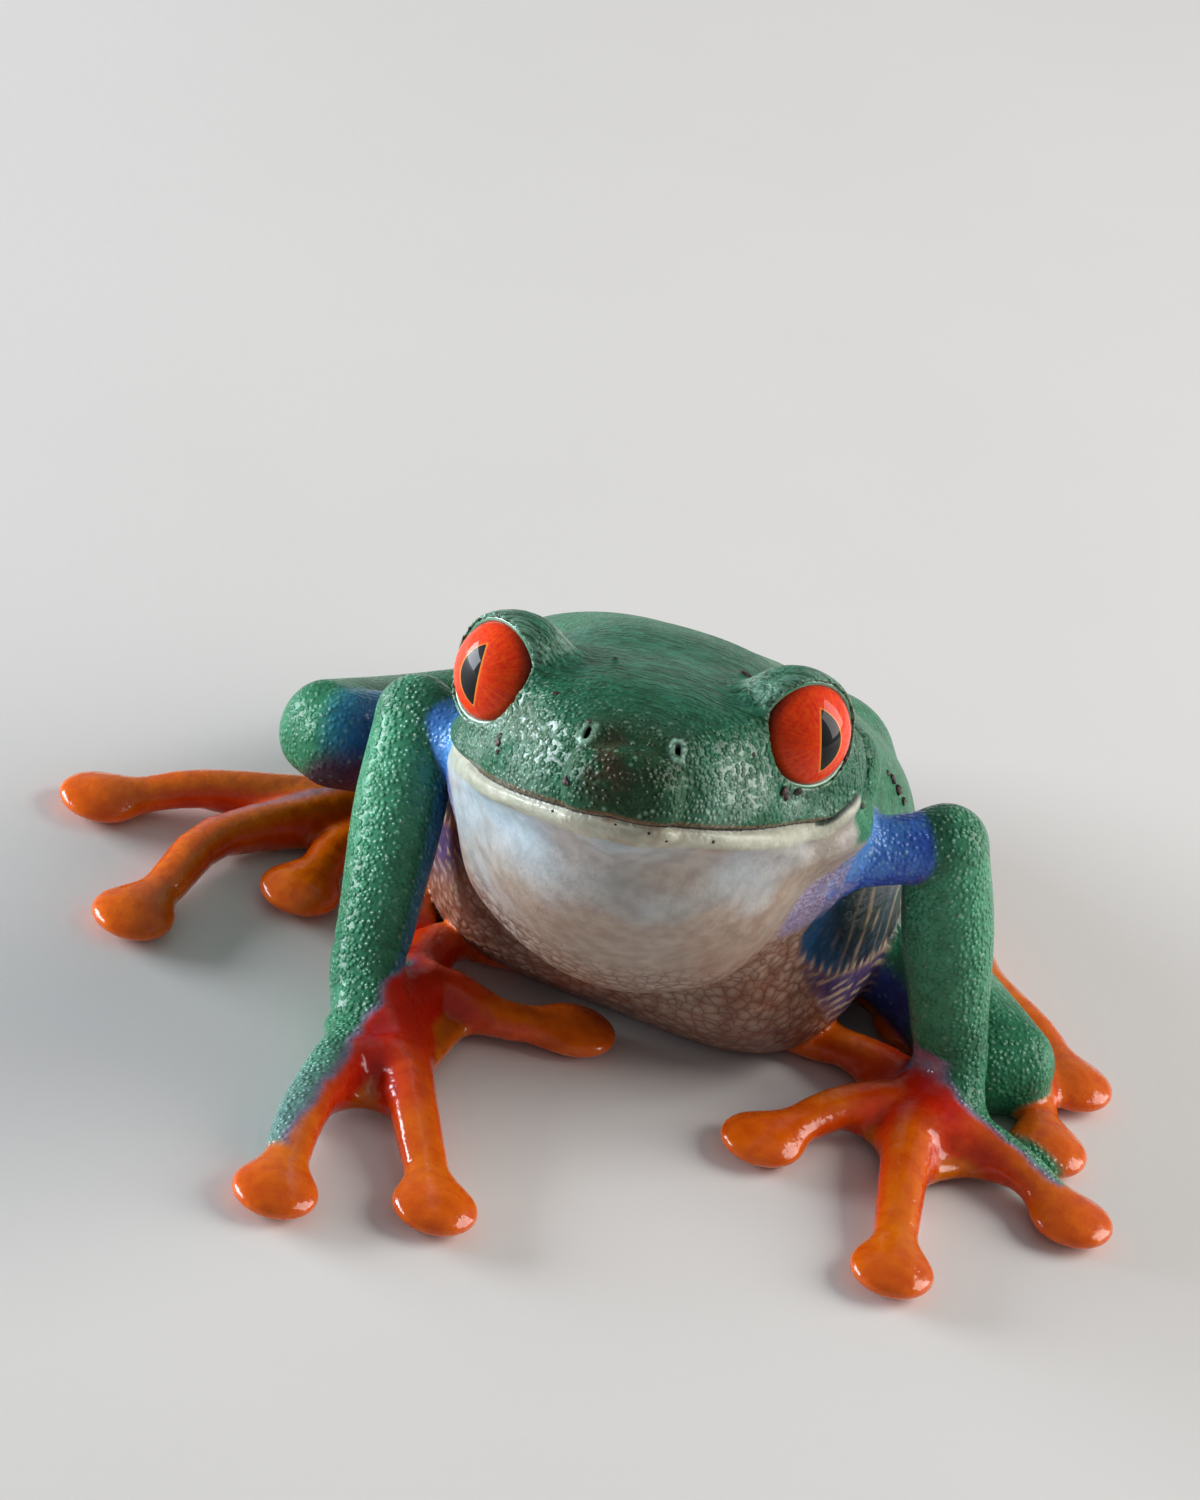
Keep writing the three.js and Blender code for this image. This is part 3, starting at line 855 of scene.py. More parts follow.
def relaxed(points, quads, rounds=2, pull=0.5):
    """Evens out the spacing of the vertices."""
    for _ in range(rounds):
        total, count = np.zeros_like(points), np.zeros(len(points))
        for a, b in ((0, 1), (1, 2), (2, 3), (3, 0)):
            for i, j in ((a, b), (b, a)):
                np.add.at(count, quads[:, i], 1)
                for axis in range(3):
                    total[:, axis] += np.bincount(quads[:, i], points[quads[:, j], axis], len(points))
        points = points * (1 - pull) + total / count[:, None] * pull
    return points


def settled(points, distance, rounds=2):
    """Moves each vertex on to the surface and gives its normal."""
    e = 0.03
    for _ in range(rounds):
        value = distance(points)
        slope = np.stack([distance(points + np.eye(3)[i] * e) - value for i in range(3)], 1) / e
        size = np.maximum((slope**2).sum(1), 0.2)
        points = points - np.clip(value / size, -0.12, 0.12)[:, None] * slope
    return points, unit(slope + 1e-9)


def mesh_object(name, points, faces):
    """A Blender object from vertices in millimetres and quads or triangles."""
    mesh = bpy.data.meshes.new(name)
    faces = np.asarray(faces)
    sides = faces.shape[1]
    mesh.vertices.add(len(points))
    mesh.vertices.foreach_set("co", (points * MM).astype(np.float32).ravel())
    mesh.loops.add(faces.size)
    mesh.loops.foreach_set("vertex_index", faces.astype(np.int32).ravel())
    mesh.polygons.add(len(faces))
    mesh.polygons.foreach_set("loop_start", np.arange(0, faces.size, sides, dtype=np.int32))
    mesh.polygons.foreach_set("use_smooth", np.ones(len(faces), bool))
    mesh.update(calc_edges=True)
    mesh.validate()
    thing = bpy.data.objects.new(name, mesh)
    bpy.context.scene.collection.objects.link(thing)
    return thing


def paint(thing, name, values):
    """Stores one number or one colour for each vertex."""
    values = np.asarray(values, np.float32)
    if values.ndim == 1:
        layer = thing.data.attributes.new(name, "FLOAT", "POINT")
        layer.data.foreach_set("value", values)
    else:
        layer = thing.data.color_attributes.new(name, "FLOAT_COLOR", "POINT")
        opaque = np.ones(len(values), np.float32)
        layer.data.foreach_set("color", np.column_stack([values, opaque]).ravel())


# ------------------------------------------------------------------ colours on the skin


def owned(mine, others, width=0.35):
    """Share of a body where it lies nearer than the others and near the skin."""
    return step(width, -width, mine - others) * step(1.4, 0.7, mine)


class Paint:
    """Colour and finish of the skin at each vertex. p is in mm and tints are the user's colours."""

    def __init__(self, p, frog, tints):
        self.p, self.frog, self.tints = p, frog, tints
        self.q = to_head(p)
        self.trunk, self.across, self.over = frog.trunk.measure(p)
        self.skull, self.jaw = frog.skull.distance(self.q), frog.jaw.distance(self.q)
        self.trunk = np.minimum(self.trunk, oval(p, *CHEST))
        self.body = np.minimum(self.trunk, np.minimum(self.skull, self.jaw))
        for place, radii in (THROAT, CHEEK, NAPE):
            self.body = np.minimum(self.body, oval(self.q, place, radii))
        self.soft, self.fine = cloud(p, 2.6, 1), cloud(p, 0.8, 2)
        self.green = blend(tints["green"] * 0.9, tints["green_light"], self.soft)
        self.colour = self.green.copy()
        self.masks = {name: np.zeros(len(p)) for name in ("grain", "warts", "wet", "digits", "lips", "lines")}
        self.masks["warts"] += 0.6
        self.masks["wet"] += 0.25
        self.masks["level"] = self.q[:, 2] - frog.mouth(self.q)
        self.trunk_skin()
        self.head_skin()
        for side, sign in (("right", -1), ("left", 1)):
            self.leg(side, sign)
            self.arm(side, sign)

    def lay(self, tone, share, **masks):
        """Paints a tone over a share of each vertex, and sets what the masks read there."""
        self.colour = blend(self.colour, tone, share)
        for name, value in masks.items():
            self.masks[name] = self.masks[name] * (1 - share) + value * share

    def pale_skin(self):
        """Smooth bluish throat that turns into the rosy granules of the belly lower down."""
        tints, x, y, z = self.tints, *self.p.T
        low = step(16.0, 7.5, z - 0.12 * (y + 15) + 1.5 * (self.soft - 0.5))
        warm = 0.9 * (self.soft - 0.5) + 0.8 * step(20, 14, z) + 0.8 * step(-6.0, 0.5, x) - 0.2
        throat = blend(tints["throat"], tints["throat_warm"], np.clip(warm, 0, 1))
        flush = step(0.5, 0.8, cloud(self.p * (0.5, 1, 1), 1.2, 21)) * step(0.35, 0.7, cloud(self.p, 4.0, 22))
        throat = blend(throat, tints["belly_low"], flush * 0.25)
        # darker and rosier at the sides, low down and towards the right: rosy skin, with painted shade low
        # down
        rosy = step(0.45, 1.0, np.abs(self.across)) * 0.5 + step(6.0, 1.5, z) * 0.6 + 0.35 * (self.soft - 0.5)
        rosy += step(-3, -9, x) * 0.35
        belly = blend(tints["belly"], tints["belly_low"], np.clip(rosy, 0, 1))
        return blend(throat, belly, low), step(0.12, 0.7, low)

    def trunk_skin(self):
        """Green above, granular and pale below, and a dark blue flank with cream marks between."""
        tints, x, y, z = self.tints, *self.p.T
        height = self.over + 0.05 * (self.soft - 0.5)
        below = step(0.12, 0.08, height)
        pale, grain = self.pale_skin()
        self.lay(pale, below, grain=grain, warts=0, wet=0.35)
        # the flank begins in a hollow curve behind the arm
        start = -9.9 + 0.055 * np.clip(13.5 - z, 0, 13) ** 2 - 5.0 * step(-4, -7.5, x)
        start += 0.35 * (self.fine - 0.5)
        behind = step(-0.2, 0.25, y - start) * below
        fresh = np.clip(step(4.0, 0.5, y - start) * 0.9 + 0.5 * (self.soft - 0.3), 0, 1)
        flank = behind * step(-0.41, -0.35, height)
        self.lay(blend(tints["flank"], tints["flank_blue"], fresh), flank, grain=0.25, warts=0, wet=0.5)
        dabs = bump(np.mod(y + 0.8 * self.soft, 1.3), 0.65, 0.22)
        dabs = dabs * step(0.42, 0.62, cloud(self.p * (1, 1, 0.5), 1.0, 5))
        self.lay(tints["cream"] * 0.7, flank * dabs * step(1.6, 5.0, y - start) * 0.85)
        dots = bump(height, -0.37, 0.03) * step(0.2, 0.6, np.cos(y * 2 * math.pi / 0.85))
        self.lay(tints["cream"], behind * dots * step(6, 1, y))
        # below it cream streaks over violet blue fan towards the belly
        reach = 0.05 * np.where(x < 0, np.maximum(y, -4), y)
        fan = behind * step(-0.36, -0.42, height) * step(-0.97, -0.72, height + reach)
        self.lay(tints["flank_violet"], fan * 0.9, grain=0.2)
        lines = np.cos((z + 0.15 * y) * 2 * math.pi / 0.66 + 2.5 * self.soft)
        dashes = step(0.1, 0.55, lines) * step(0.36, 0.54, cloud(self.p * (1, 0.55, 1), 0.55, 6))
        self.lay(tints["cream"], fan * dashes * 0.85, grain=0.5)

    def head_skin(self):
        """Green above the lips, pale below them, with brown freckles, painted shade and painted highlights on
        the snout, the lids and the nostrils.
        """
        tints, frog = self.tints, self.frog
        x, y, z = self.q.T
        level = self.masks["level"]
        room = (self.p[:, 1] < 2) * (self.p[:, 2] > 9)
        mirrored = left_side(self.q)
        sides = mirrored - frog.eye_at
        reach = np.linalg.norm(sides, axis=1)
        near = np.minimum(np.minimum(self.skull, self.jaw), reach - frog.radius - 1)
        head = step(1.6, 0.9, near) * room * step(9.5, 7.0, y)
        upper = head * step(-0.2, 0.1, level)
        lighter = np.clip(step(-1.0, 2.2, z) * 0.5 + 0.7 * (self.soft - 0.3), 0, 1)
        light = tints["green_light"] * (1.1, 0.88, 1.12)
        self.lay(blend(tints["green"] * 0.85, light, lighter), upper, warts=1, wet=0.4, grain=0)
        top = step(-0.6, 1.2, z) * step(-8.5, -6.0, y)
        self.masks["lines"] = head * top
        self.lay(self.colour, upper * top, warts=0.35, wet=0.25)
        # painted shade darkens the middle of the snout, which has brown freckles; the cheeks are shiny, with
        # a painted sheen
        snout = step(4.4, 1.2, np.abs(x - 0.4)) * step(-5.0, -8.2, y)
        self.lay(tints["snout"], upper * snout * (0.75 + 0.25 * self.fine), warts=0.8, wet=0.3)
        brown = bump(x, -0.9, 1.3) * bump(z, -1.9, 1.4) * step(-7, -8.5, y) * step(0.30, 0.55, self.fine)
        self.lay(tints["brown"], upper * brown * 0.85)
        # painted sheen: the glossy cheeks are lightened towards the pale lid colour
        gloss_and_sheen = step(2.6, 4.6, np.abs(x)) * step(0.6, -1.2, z) * step(5, 1, y)
        gloss_and_sheen = gloss_and_sheen * step(0.25, 0.6, cloud(self.p, 1.7, 11))
        self.lay(blend(self.colour, tints["lid"], 0.30 * gloss_and_sheen), upper * gloss_and_sheen, wet=1.0)
        # throat, and the pale band of the lower lip
        under = step(4.2, 3.2, np.minimum(self.jaw, oval(self.q, *THROAT))) * room * step(0.1, -0.1, level)
        under = under * step(9.5, 8.0, y) * (1 - step(8.4, 9.2, x) * step(4.2, 4.9, y) * step(-6.2, -5.6, z))
        pale, grain = self.pale_skin()
        self.lay(pale, under, grain=grain, warts=0, wet=0.4)
        front = step(5.4, 4.6, y)
        lip = front * step(-1.10, -1.00, level + 0.25 * step(4.5, 1.0, np.abs(x))) * step(0.1, 0.0, level)
        self.lay(tints["lip"], under * lip, grain=0, warts=0.12, wet=0.5)
        stain = bump(x, 0.9, 2.0) * step(0.2, 0.8, self.fine)
        self.lay(tints["stain"], under * lip * stain * 0.6)
        self.masks["lips"] = head * step(3.4, 2.6, y - 1.0 * step(0, 5, x))
        # painted wet highlight on the rim round the eyes, painted shade along the crease of the fold, and the
        # nostrils with a painted highlight on their pale rings and painted shade in their slits
        rim = step(0.42, 0.2, np.abs(frog.lid_edge(sides) - 0.22)) * step(0.55, 0.3, reach - frog.radius)
        self.lay(tints["lid"], rim * head * 0.5, warts=0, wet=0.9)
        # the fold is measured on the skin as it is before the fold is pressed into it
        fold = np.minimum(rope(self.q, frog.fold), 1.0)
        close = np.nonzero(fold < 0.95)[0]
        lifted, _ = settled(self.p[close], lambda at: frog.body(at, pressed=False), rounds=6)
        fold[close] = np.minimum(rope(to_head(lifted), frog.fold), 1.0)
        # this distance to the fold guides painted shade along its crease
        self.masks["fold"] = fold
        slit = frog.nostril_slit(mirrored)
        # painted highlight: the pale ring round each nostril
        self.lay(tints["lid"] * 1.3, head * bump(slit, 0.19, 0.09) * 0.9, warts=0, wet=0.9)
        # painted shade inside each nostril's slit
        self.lay(vec(0.004, 0.003, 0.003), head * step(0.08, 0.0, slit), warts=0)
        self.lay(tints["stain"], head * step(0.25, 0.0, ball(self.q, frog.notch, 0.25)), warts=0)

    def limb_tone(self, inner, s, green_at):
        """Green outside, then a narrow fade through blue to violet on the side that faces the body."""
        tone = blend(self.green, self.tints["blue_light"] * 0.7, step(green_at, green_at + 0.22, inner))
        return blend(tone, self.tints["purple"], step(green_at + 0.2, green_at + 0.5, inner) * s)

    def arm(self, side, sign):
        """Blue upper arm, green forearm and red hand of one side."""
        tints, parts = self.tints, self.frog.parts[side]
        d_arm, t, _, o = parts["upper_arm"].measure(self.p)
        lit = 0.7 * step(-0.6, 0.8, o) * step(0.95, 0.3, t) + 0.5 * self.fine - 0.1 - 0.15 * sign
        tone = blend(tints["blue"], tints["blue_light"], np.clip(lit, 0, 1))
        tone = blend(tone, tints["lavender"], step(0.40, 0.10, t + 0.16 * (self.fine - 0.5)))
        tone = blend(tone, tints["purple"], step(0.55, 0.95, t) * step(-0.1, -0.8, o) * 0.9)
        root = step(0.6, 0.2, t)
        mine = owned(d_arm - 0.35 - 0.4 * root, self.body, 0.3 + root * 0.5)
        self.lay(tone, mine, warts=0.45, wet=0.7, grain=0)
        hem = bump(d_arm - self.body, 0.30, 0.14) * step(1.2, 0.6, d_arm) * step(0.3, 0.7, o)
        self.lay(tints["lid"], hem * step(0.25, 0.5, self.fine) * 0.8)
        # lower arm and hand
        d_fore, t, s, o = parts["forearm"].measure(self.p)
        d_hand, facts = parts["hand"].measure(self.p)
        lower = owned(np.minimum(d_fore, d_hand) - 0.15, np.minimum(self.body, d_arm), 0.14)
        inner = -s * sign
        middle = step(0.15, 0.4, t) * step(0.75, 0.6, t)
        # painted shade in the crease where the forearm meets the upper arm
        elbow_crease_shade = step(-0.45, 0.0, np.minimum(d_fore, d_hand) - d_arm) * step(0.25, 0.1, t)
        tone = self.limb_tone(inner + 0.2 * np.maximum(o, 0), middle, 0.84)
        # paler green on the upper side and towards the elbow: partly the forearm's own paler green, partly
        # painted highlight
        pale = 0.25 + step(0.3, 0.9, o) * 0.25 + step(0.62, 0.15, t) * 0.5
        pale = np.clip(pale, 0, 1) * step(0.9, 0.7, inner)
        tone = blend(tone, tints["green_light"] * (1.9, 1.7, 1.8), pale)
        red, along = self.redness(ARMS[side])
        tone = blend(tone, tints["wrist"] * (0.9, 1.5, 1.2), step(3.5, 11.0, along) * 0.6)
        tone = blend(tone, tints["wrist"], step(0.0, 0.5, red))
        first = (facts["digit"] > 0) * (facts["digit"] < 3) * step(0.02, 0.2, facts["share"])
        first = first * step(0.35, -0.25, d_hand - d_fore)
        red = np.maximum(np.maximum(red, first), step(0.60, 0.78, facts["share"]) * (facts["digit"] > 0))
        tone = blend(tone, self.digit_tone(facts, tints["red"]), step(0.45, 1.0, red))
        # painted shade at the elbow's crease
        tone = blend(tone, tone * 0.3, elbow_crease_shade * 0.7)
        self.lay(tone, lower, warts=1.0 - red, wet=0.55 + 0.45 * red, grain=0, digits=red)
        # painted shade in the crease across the wrist
        self.lay(tone * 0.4, lower * bump(t, 0.61, 0.010) * step(0.9, 0.4, d_fore) * 0.7)

    def redness(self, joints):
        """How far each vertex is from the arm's green into the hand's red, and how far past the wrist."""
        wrist = np.asarray(joints["wrist"], float)
        inner_knuckle, outer_knuckle = (np.asarray(joints["digits"][i][0], float) for i in (2, 3))
        ahead = unit(((inner_knuckle + outer_knuckle) / 2 - wrist) * (1, 1, 0))
        outward = outer_knuckle - inner_knuckle
        outward = unit((outward - ahead * (outward @ ahead)) * (1, 1, 0))
        along, out = (self.p - wrist) @ ahead, (self.p - wrist) @ outward
        slope, start = joints["red_from"]
        past = (slope * along + start - out) / math.hypot(1, slope)
        above = np.maximum(self.p[:, 2] - wrist[2] - 1.2, 0)
        past = past - 2.2 * above + 0.5 * (self.fine - 0.5)
        return step(-0.55, 0.6, past), along

    def digit_tone(self, facts, root):
        """Orange digits that start from the colour of the palm or sole, with their webs and discs."""
        tints = self.tints
        share = facts["share"] * (facts["digit"] > 0)
        orange = blend(tints["orange"], tints["orange_light"], self.soft)
        tone = blend(root, orange, step(0.12, 0.55, share + 0.25 * (self.soft - 0.5)))
        sides = step(0.55, 1.0, np.abs(facts["across"])) * step(0.85, 0.6, share)
        tone = blend(tone, tints["red"], sides * 0.6)
        tone = blend(tone, tints["web"], facts["web"] * 0.8)
        return blend(tone, tints["disc"], facts["disc"])

    def leg(self, side, sign):
        """Violet thigh, green shank and orange foot of one side."""
        tints, parts = self.tints, self.frog.parts[side]
        d_thigh, _, _, top = parts["thigh"].measure(self.p)
        d_shank, _, across, _ = parts["shank"].measure(self.p)
        d_heel, along, heel_across, heel_top = parts["tarsus"].measure(self.p)
        d_foot, facts = parts["foot"].measure(self.p)
        # thigh: violet blue with a green back
        tone = blend(tints["flank_violet"], tints["blue"], self.soft * 0.6)
        tone = blend(tone, self.green, step(0.25, 0.6, top))
        self.lay(tone, owned(d_thigh, self.body, 0.5), warts=0.4, wet=0.4, grain=0)
        # shank: green outside, and the front of the knee turns blue, then violet, towards the body
        tone = blend(self.green, tints["blue"], step(0.45, 0.95, -across * sign) * 0.8)
        self.lay(tone, owned(d_shank, np.minimum(self.body, d_thigh), 0.3), warts=0.7, wet=0.4, grain=0)
        r = self.p - np.asarray(LEGS[side]["knee"], float)
        knee = step(5.5, 4.0, np.linalg.norm(r, axis=1)) * owned(np.minimum(d_thigh, d_shank), self.body, 0.3)
        self.lay(self.green, knee, warts=0.5, wet=0.4)
        if side == "right":
            aside = r @ unit(vec(-0.95 * sign, -0.2, 0.15))
            rise = r @ unit(vec(0.2 * sign, 0.3, 0.9))
            blue = blend(tints["flank_blue"] * 2.2, tints["blue"], step(0.8, 2.2, aside))
            self.lay(blue, knee * step(-0.3, 1.6, aside + 0.25 * rise) * 0.8)
            self.lay(tints["purple"], knee * step(0.0, 1.6, aside - 0.8 * rise) * step(0.5, -1.4, rise) * 0.9)
        # heel and foot
        green = step(-0.2, 0.6, heel_across * sign + 0.4 * heel_top) * step(1.0, 0.5, along)
        others = np.minimum(self.body, np.minimum(d_thigh, d_shank))
        tone = blend(tints["orange"], self.green, green)
        self.lay(tone, owned(d_heel, others, 0.3), warts=0.3, wet=0.5, grain=0)
        foot = owned(d_foot, np.minimum(others, d_heel), 0.3)
        self.lay(self.digit_tone(facts, tints["sole"]), foot, warts=0, wet=1, grain=0, digits=1)
        edge = bump(facts["across"] * -sign, 0.45, 0.28) * step(0.62, 0.35, facts["share"])
        self.lay(tints["wrist"], foot * (facts["digit"] == 4) * edge * 0.7)


# ------------------------------------------------------------------ materials


GRANULE_SEAM = (0.15, 0.05, 0.03)
GRANULE_GAP = (0.13, 0.04, 0.03)
GRANULE_TOP = (0.50, 0.40, 0.32)
WART_TOP = (0.32, 0.58, 0.40)
WART_HOLLOW_SHADE = (0.012, 0.06, 0.03)
CROWN_VALLEY_SHADE = (0.014, 0.070, 0.028)
LIP_BROWN = (0.20, 0.07, 0.025)
LIP_GROOVE_SHADE = (0.03, 0.014, 0.008)
FOLD_SHADE = (0.006, 0.020, 0.010)
RIM_SHADE = (0.03, 0.012, 0.008)
EARTH = (0.012, 0.008, 0.006)
EARTH_RED = (0.09, 0.03, 0.018)
IRIS_LID_SHADE = (0.10, 0.008, 0.002)
PUPIL_EDGE = (0.95, 0.30, 0.03)
PUPIL_BLACK = (0.002, 0.002, 0.003)


class Nodes:
    """A material under construction. Its textures lie in the piece's own frame, in millimetres."""

    def __init__(self, name):
        self.material = bpy.data.materials.new(name)
        self.material.use_nodes = True
        self.tree = self.material.node_tree
        self.shader = self.tree.nodes["Principled BSDF"]
        self.place = self.vector("SCALE", self.add("ShaderNodeTexCoord").outputs["Object"], 1 / MM)

    def add(self, kind, inputs=(), **settings):
        node = self.tree.nodes.new(kind)
        for key, value in settings.items():
            setattr(node, key, value)
        for key, value in dict(inputs).items():
            self.link(value, node.inputs[key])
        return node

    def link(self, value, socket):
        if isinstance(value, bpy.types.NodeSocket):
            self.tree.links.new(value, socket)
        else:
            socket.default_value = value

    def math(self, operation, a, b=0.0, c=0.0, clamp=False):
        inputs = {0: a, 1: b}
        if operation in ("MULTIPLY_ADD", "SMOOTH_MIN", "SMOOTH_MAX"):
            inputs[2] = c
        return self.add("ShaderNodeMath", inputs, operation=operation, use_clamp=clamp).outputs[0]

    def times(self, product, *others):
        """Product of numbers."""
        for other in others:
            product = self.math("MULTIPLY", product, other)
        return product

    def vector(self, operation, a, b):
        """Vector a scaled by the number b, or worked out with the vector b."""
        second = 3 if operation == "SCALE" else 1
        return self.add("ShaderNodeVectorMath", {0: a, second: b}, operation=operation).outputs[0]

    def mix(self, share, a, b, kind="MIX"):
        node = self.add("ShaderNodeMix", data_type="RGBA", blend_type=kind)
        self.link(share, node.inputs[0])
        self.link(a if isinstance(a, bpy.types.NodeSocket) else (*a, 1), node.inputs[6])
        self.link(b if isinstance(b, bpy.types.NodeSocket) else (*b, 1), node.inputs[7])
        return node.outputs[2]

    def ramp(self, value, *stops):
        """Maps a number through (position, level) stops."""
        node = self.add("ShaderNodeValToRGB", {0: value})
        node.color_ramp.interpolation = "EASE"
        ramp = node.color_ramp.elements
        while len(ramp) < len(stops):
            ramp.new(0.5)
        for element, (position, level) in zip(ramp, stops):
            element.position = position
            element.color = (level, level, level, 1)
        return node.outputs[0]

    def attribute(self, name, output="Fac"):
        return self.add("ShaderNodeAttribute", attribute_name=name).outputs[output]

    def noise(self, size, detail=2.0, rough=0.5, place=None):
        """Noise that changes over that size in mm."""
        place = self.place if place is None else place
        inputs = {"Vector": place, "Scale": 1 / size, "Detail": detail, "Roughness": rough}
        return self.add("ShaderNodeTexNoise", inputs).outputs["Fac"]

    def cells(self, size, place=None, feature="F1"):
        """Distance within cells of that size in mm."""
        place = self.place if place is None else place
        inputs = {"Vector": place, "Scale": 1 / size}
        return self.add("ShaderNodeTexVoronoi", inputs, feature=feature).outputs["Distance"]

    def bumps(self, height, depth, onto=None):
        """Bump of that depth in mm."""
        inputs = {"Height": height, "Distance": depth * MM, "Strength": 1.0}
        if onto is not None:
            inputs["Normal"] = onto
        return self.add("ShaderNodeBump", inputs).outputs[0]

    def finished(self, sockets):
        """Sets the shader's sockets by name and gives the material."""
        for name, value in sockets.items():
            self.link(value, self.shader.inputs[name])
        return self.material


def skin_material(look):
    """The painted skin, with granules, warts and wrinkles that have painted shade in their hollows, painted
    shade along the line of the lips and the fold, and wetness from its masks.
    """
    nodes = Nodes("frog_skin")
    colour = nodes.attribute("tint", "Color")
    masks = "grain", "warts", "wet", "digits", "level", "lips", "lines", "fold"
    grain, warts, wet, digits, level, lips, crown, fold = (nodes.attribute(name) for name in masks)

    # belly: rounded granules with rosy gaps and pale tops
    granule = look.belly_grain / MM
    drift = nodes.add("ShaderNodeTexNoise", {"Vector": nodes.place, "Scale": 0.8}).outputs["Color"]
    loose = nodes.vector("ADD", nodes.place, nodes.vector("SCALE", drift, 0.7))
    cushions = nodes.ramp(nodes.cells(granule, loose), (0.15, 1.0), (0.80, 0.0))
    seams = nodes.ramp(cushions, (0.0, 1.0), (0.42, 0.0))
    gaps = nodes.ramp(nodes.cells(granule, loose, "DISTANCE_TO_EDGE"), (0.0, 1.0), (0.10, 0.0))
    tops = nodes.ramp(cushions, (0.55, 0.0), (1.0, 1.0))
    colour = nodes.mix(nodes.times(seams, grain, 0.32), colour, GRANULE_SEAM)
    colour = nodes.mix(nodes.times(gaps, grain, 0.6), colour, GRANULE_GAP)
    colour = nodes.mix(nodes.times(tops, grain, 0.25), colour, GRANULE_TOP)

    # green skin: fine close warts with painted shade in the hollows between them, and sparser pale ones
    wart = look.wart / MM
    domes = nodes.ramp(nodes.cells(wart), (0.05, 1.0), (0.65, 0.0))
    pearls = nodes.ramp(nodes.cells(wart * 2.0), (0.0, 1.0), (0.30, 0.0))
    wart_hollow_shade = nodes.math("SUBTRACT", 1.0, domes)
    colour = nodes.mix(nodes.times(pearls, warts, 0.7), colour, WART_TOP)
    colour = nodes.mix(nodes.times(wart_hollow_shade, warts, 0.35), colour, WART_HOLLOW_SHADE)

    # fine wrinkles run from side to side over the crown, with painted shade in their valleys
    wrinkles = nodes.noise(0.42, 3.0, place=nodes.vector("MULTIPLY", loose, (0.25, 1.6, 1.6)))
    valley_shade = nodes.ramp(wrinkles, (0.40, 1.0), (0.53, 0.0))
    colour = nodes.mix(nodes.times(valley_shade, crown, 0.8), colour, CROWN_VALLEY_SHADE)
    mottle = nodes.noise(0.9, 3.0)
    colour = nodes.mix(0.35, colour, nodes.ramp(mottle, (0.25, 0.25), (0.75, 1.0)), "SOFT_LIGHT")

    # painted shade: a dark line in the groove between the lips, under the brown edge of the upper one
    brown = nodes.ramp(level, (0.0, 0.0), (0.08, 0.85), (0.16, 0.6), (0.40, 0.0))
    colour = nodes.mix(nodes.times(lips, brown), colour, LIP_BROWN)
    apart = nodes.math("ABSOLUTE", nodes.math("ADD", level, 0.04))
    line = nodes.ramp(apart, (0.02, 0.95), (0.10, 0.0))
    colour = nodes.mix(nodes.times(lips, line), colour, LIP_GROOVE_SHADE)
    # painted shade along the crease of the fold behind the left corner of the mouth
    colour = nodes.mix(nodes.ramp(fold, (0.14, 0.92), (0.40, 0.0)), colour, FOLD_SHADE)

    ragged = nodes.math("MULTIPLY_ADD", nodes.noise(0.45, 3.0), 0.22, 0.40)
    normal = nodes.bumps(nodes.times(cushions, grain), 0.10)
    normal = nodes.bumps(nodes.times(wrinkles, crown), 0.36, normal)
    normal = nodes.bumps(nodes.times(domes, warts), 0.12, normal)
    normal = nodes.bumps(nodes.times(pearls, warts), 0.05, normal)
    elsewhere = nodes.math("SUBTRACT", 1.0, digits)
    normal = nodes.bumps(nodes.times(nodes.noise(0.25, 3.0), elsewhere), 0.04, normal)
    normal = nodes.bumps(nodes.times(mottle, digits), 0.09, normal)
    return nodes.finished(
        {
            "Base Color": colour,
            "Roughness": nodes.math("MULTIPLY_ADD", wet, -0.22, ragged, clamp=True),
            "Specular IOR Level": 0.08,
            "Coat Weight": nodes.math("MULTIPLY_ADD", wet, 0.95, 0.02, clamp=True),
            "Coat Roughness": 0.09,
            "Coat IOR": 1.4,
            "Normal": normal,
            "Coat Normal": normal,
            "Subsurface Weight": 0.25,
            "Subsurface Radius": (1.0, 0.45, 0.25),
            "Subsurface Scale": 0.9 * MM,
        }
    )


def rim_material(look):
    """Wet skin, pale on top as a painted wet highlight, with painted shade where it meets the eyeball."""
    nodes = Nodes("frog_lid_rim")
    inward = nodes.attribute("inward")
    flecks = nodes.noise(0.3, 3.0)
    # painted wet highlight: the pale band of the rim
    pale = nodes.mix(nodes.ramp(flecks, (0.3, 0.0), (0.7, 0.6)), look.lid, look.green_light)
    colour = nodes.mix(nodes.ramp(inward, (0.0, 0.0), (0.45, 1.0)), look.green_light, pale)
    # painted shade where the rim meets the eyeball
    colour = nodes.mix(nodes.ramp(inward, (0.78, 0.0), (0.94, 1.0)), colour, RIM_SHADE)
    return nodes.finished(
        {
            "Base Color": colour,
            "Roughness": nodes.math("MULTIPLY_ADD", flecks, 0.2, 0.15),
            "Coat Weight": 0.6,
            "Normal": nodes.bumps(flecks, 0.02),
        }
    )


def crumb_material():
    """Dark earth with reddish specks."""
    nodes = Nodes("frog_crumb")
    specks = nodes.noise(0.12, 3.0)
    return nodes.finished(
        {
            "Base Color": nodes.mix(nodes.ramp(specks, (0.4, 0.0), (0.7, 1.0)), EARTH, EARTH_RED),
            "Roughness": nodes.math("MULTIPLY_ADD", specks, 0.4, 0.3),
            "Normal": nodes.bumps(specks, 0.06),
        }
    )


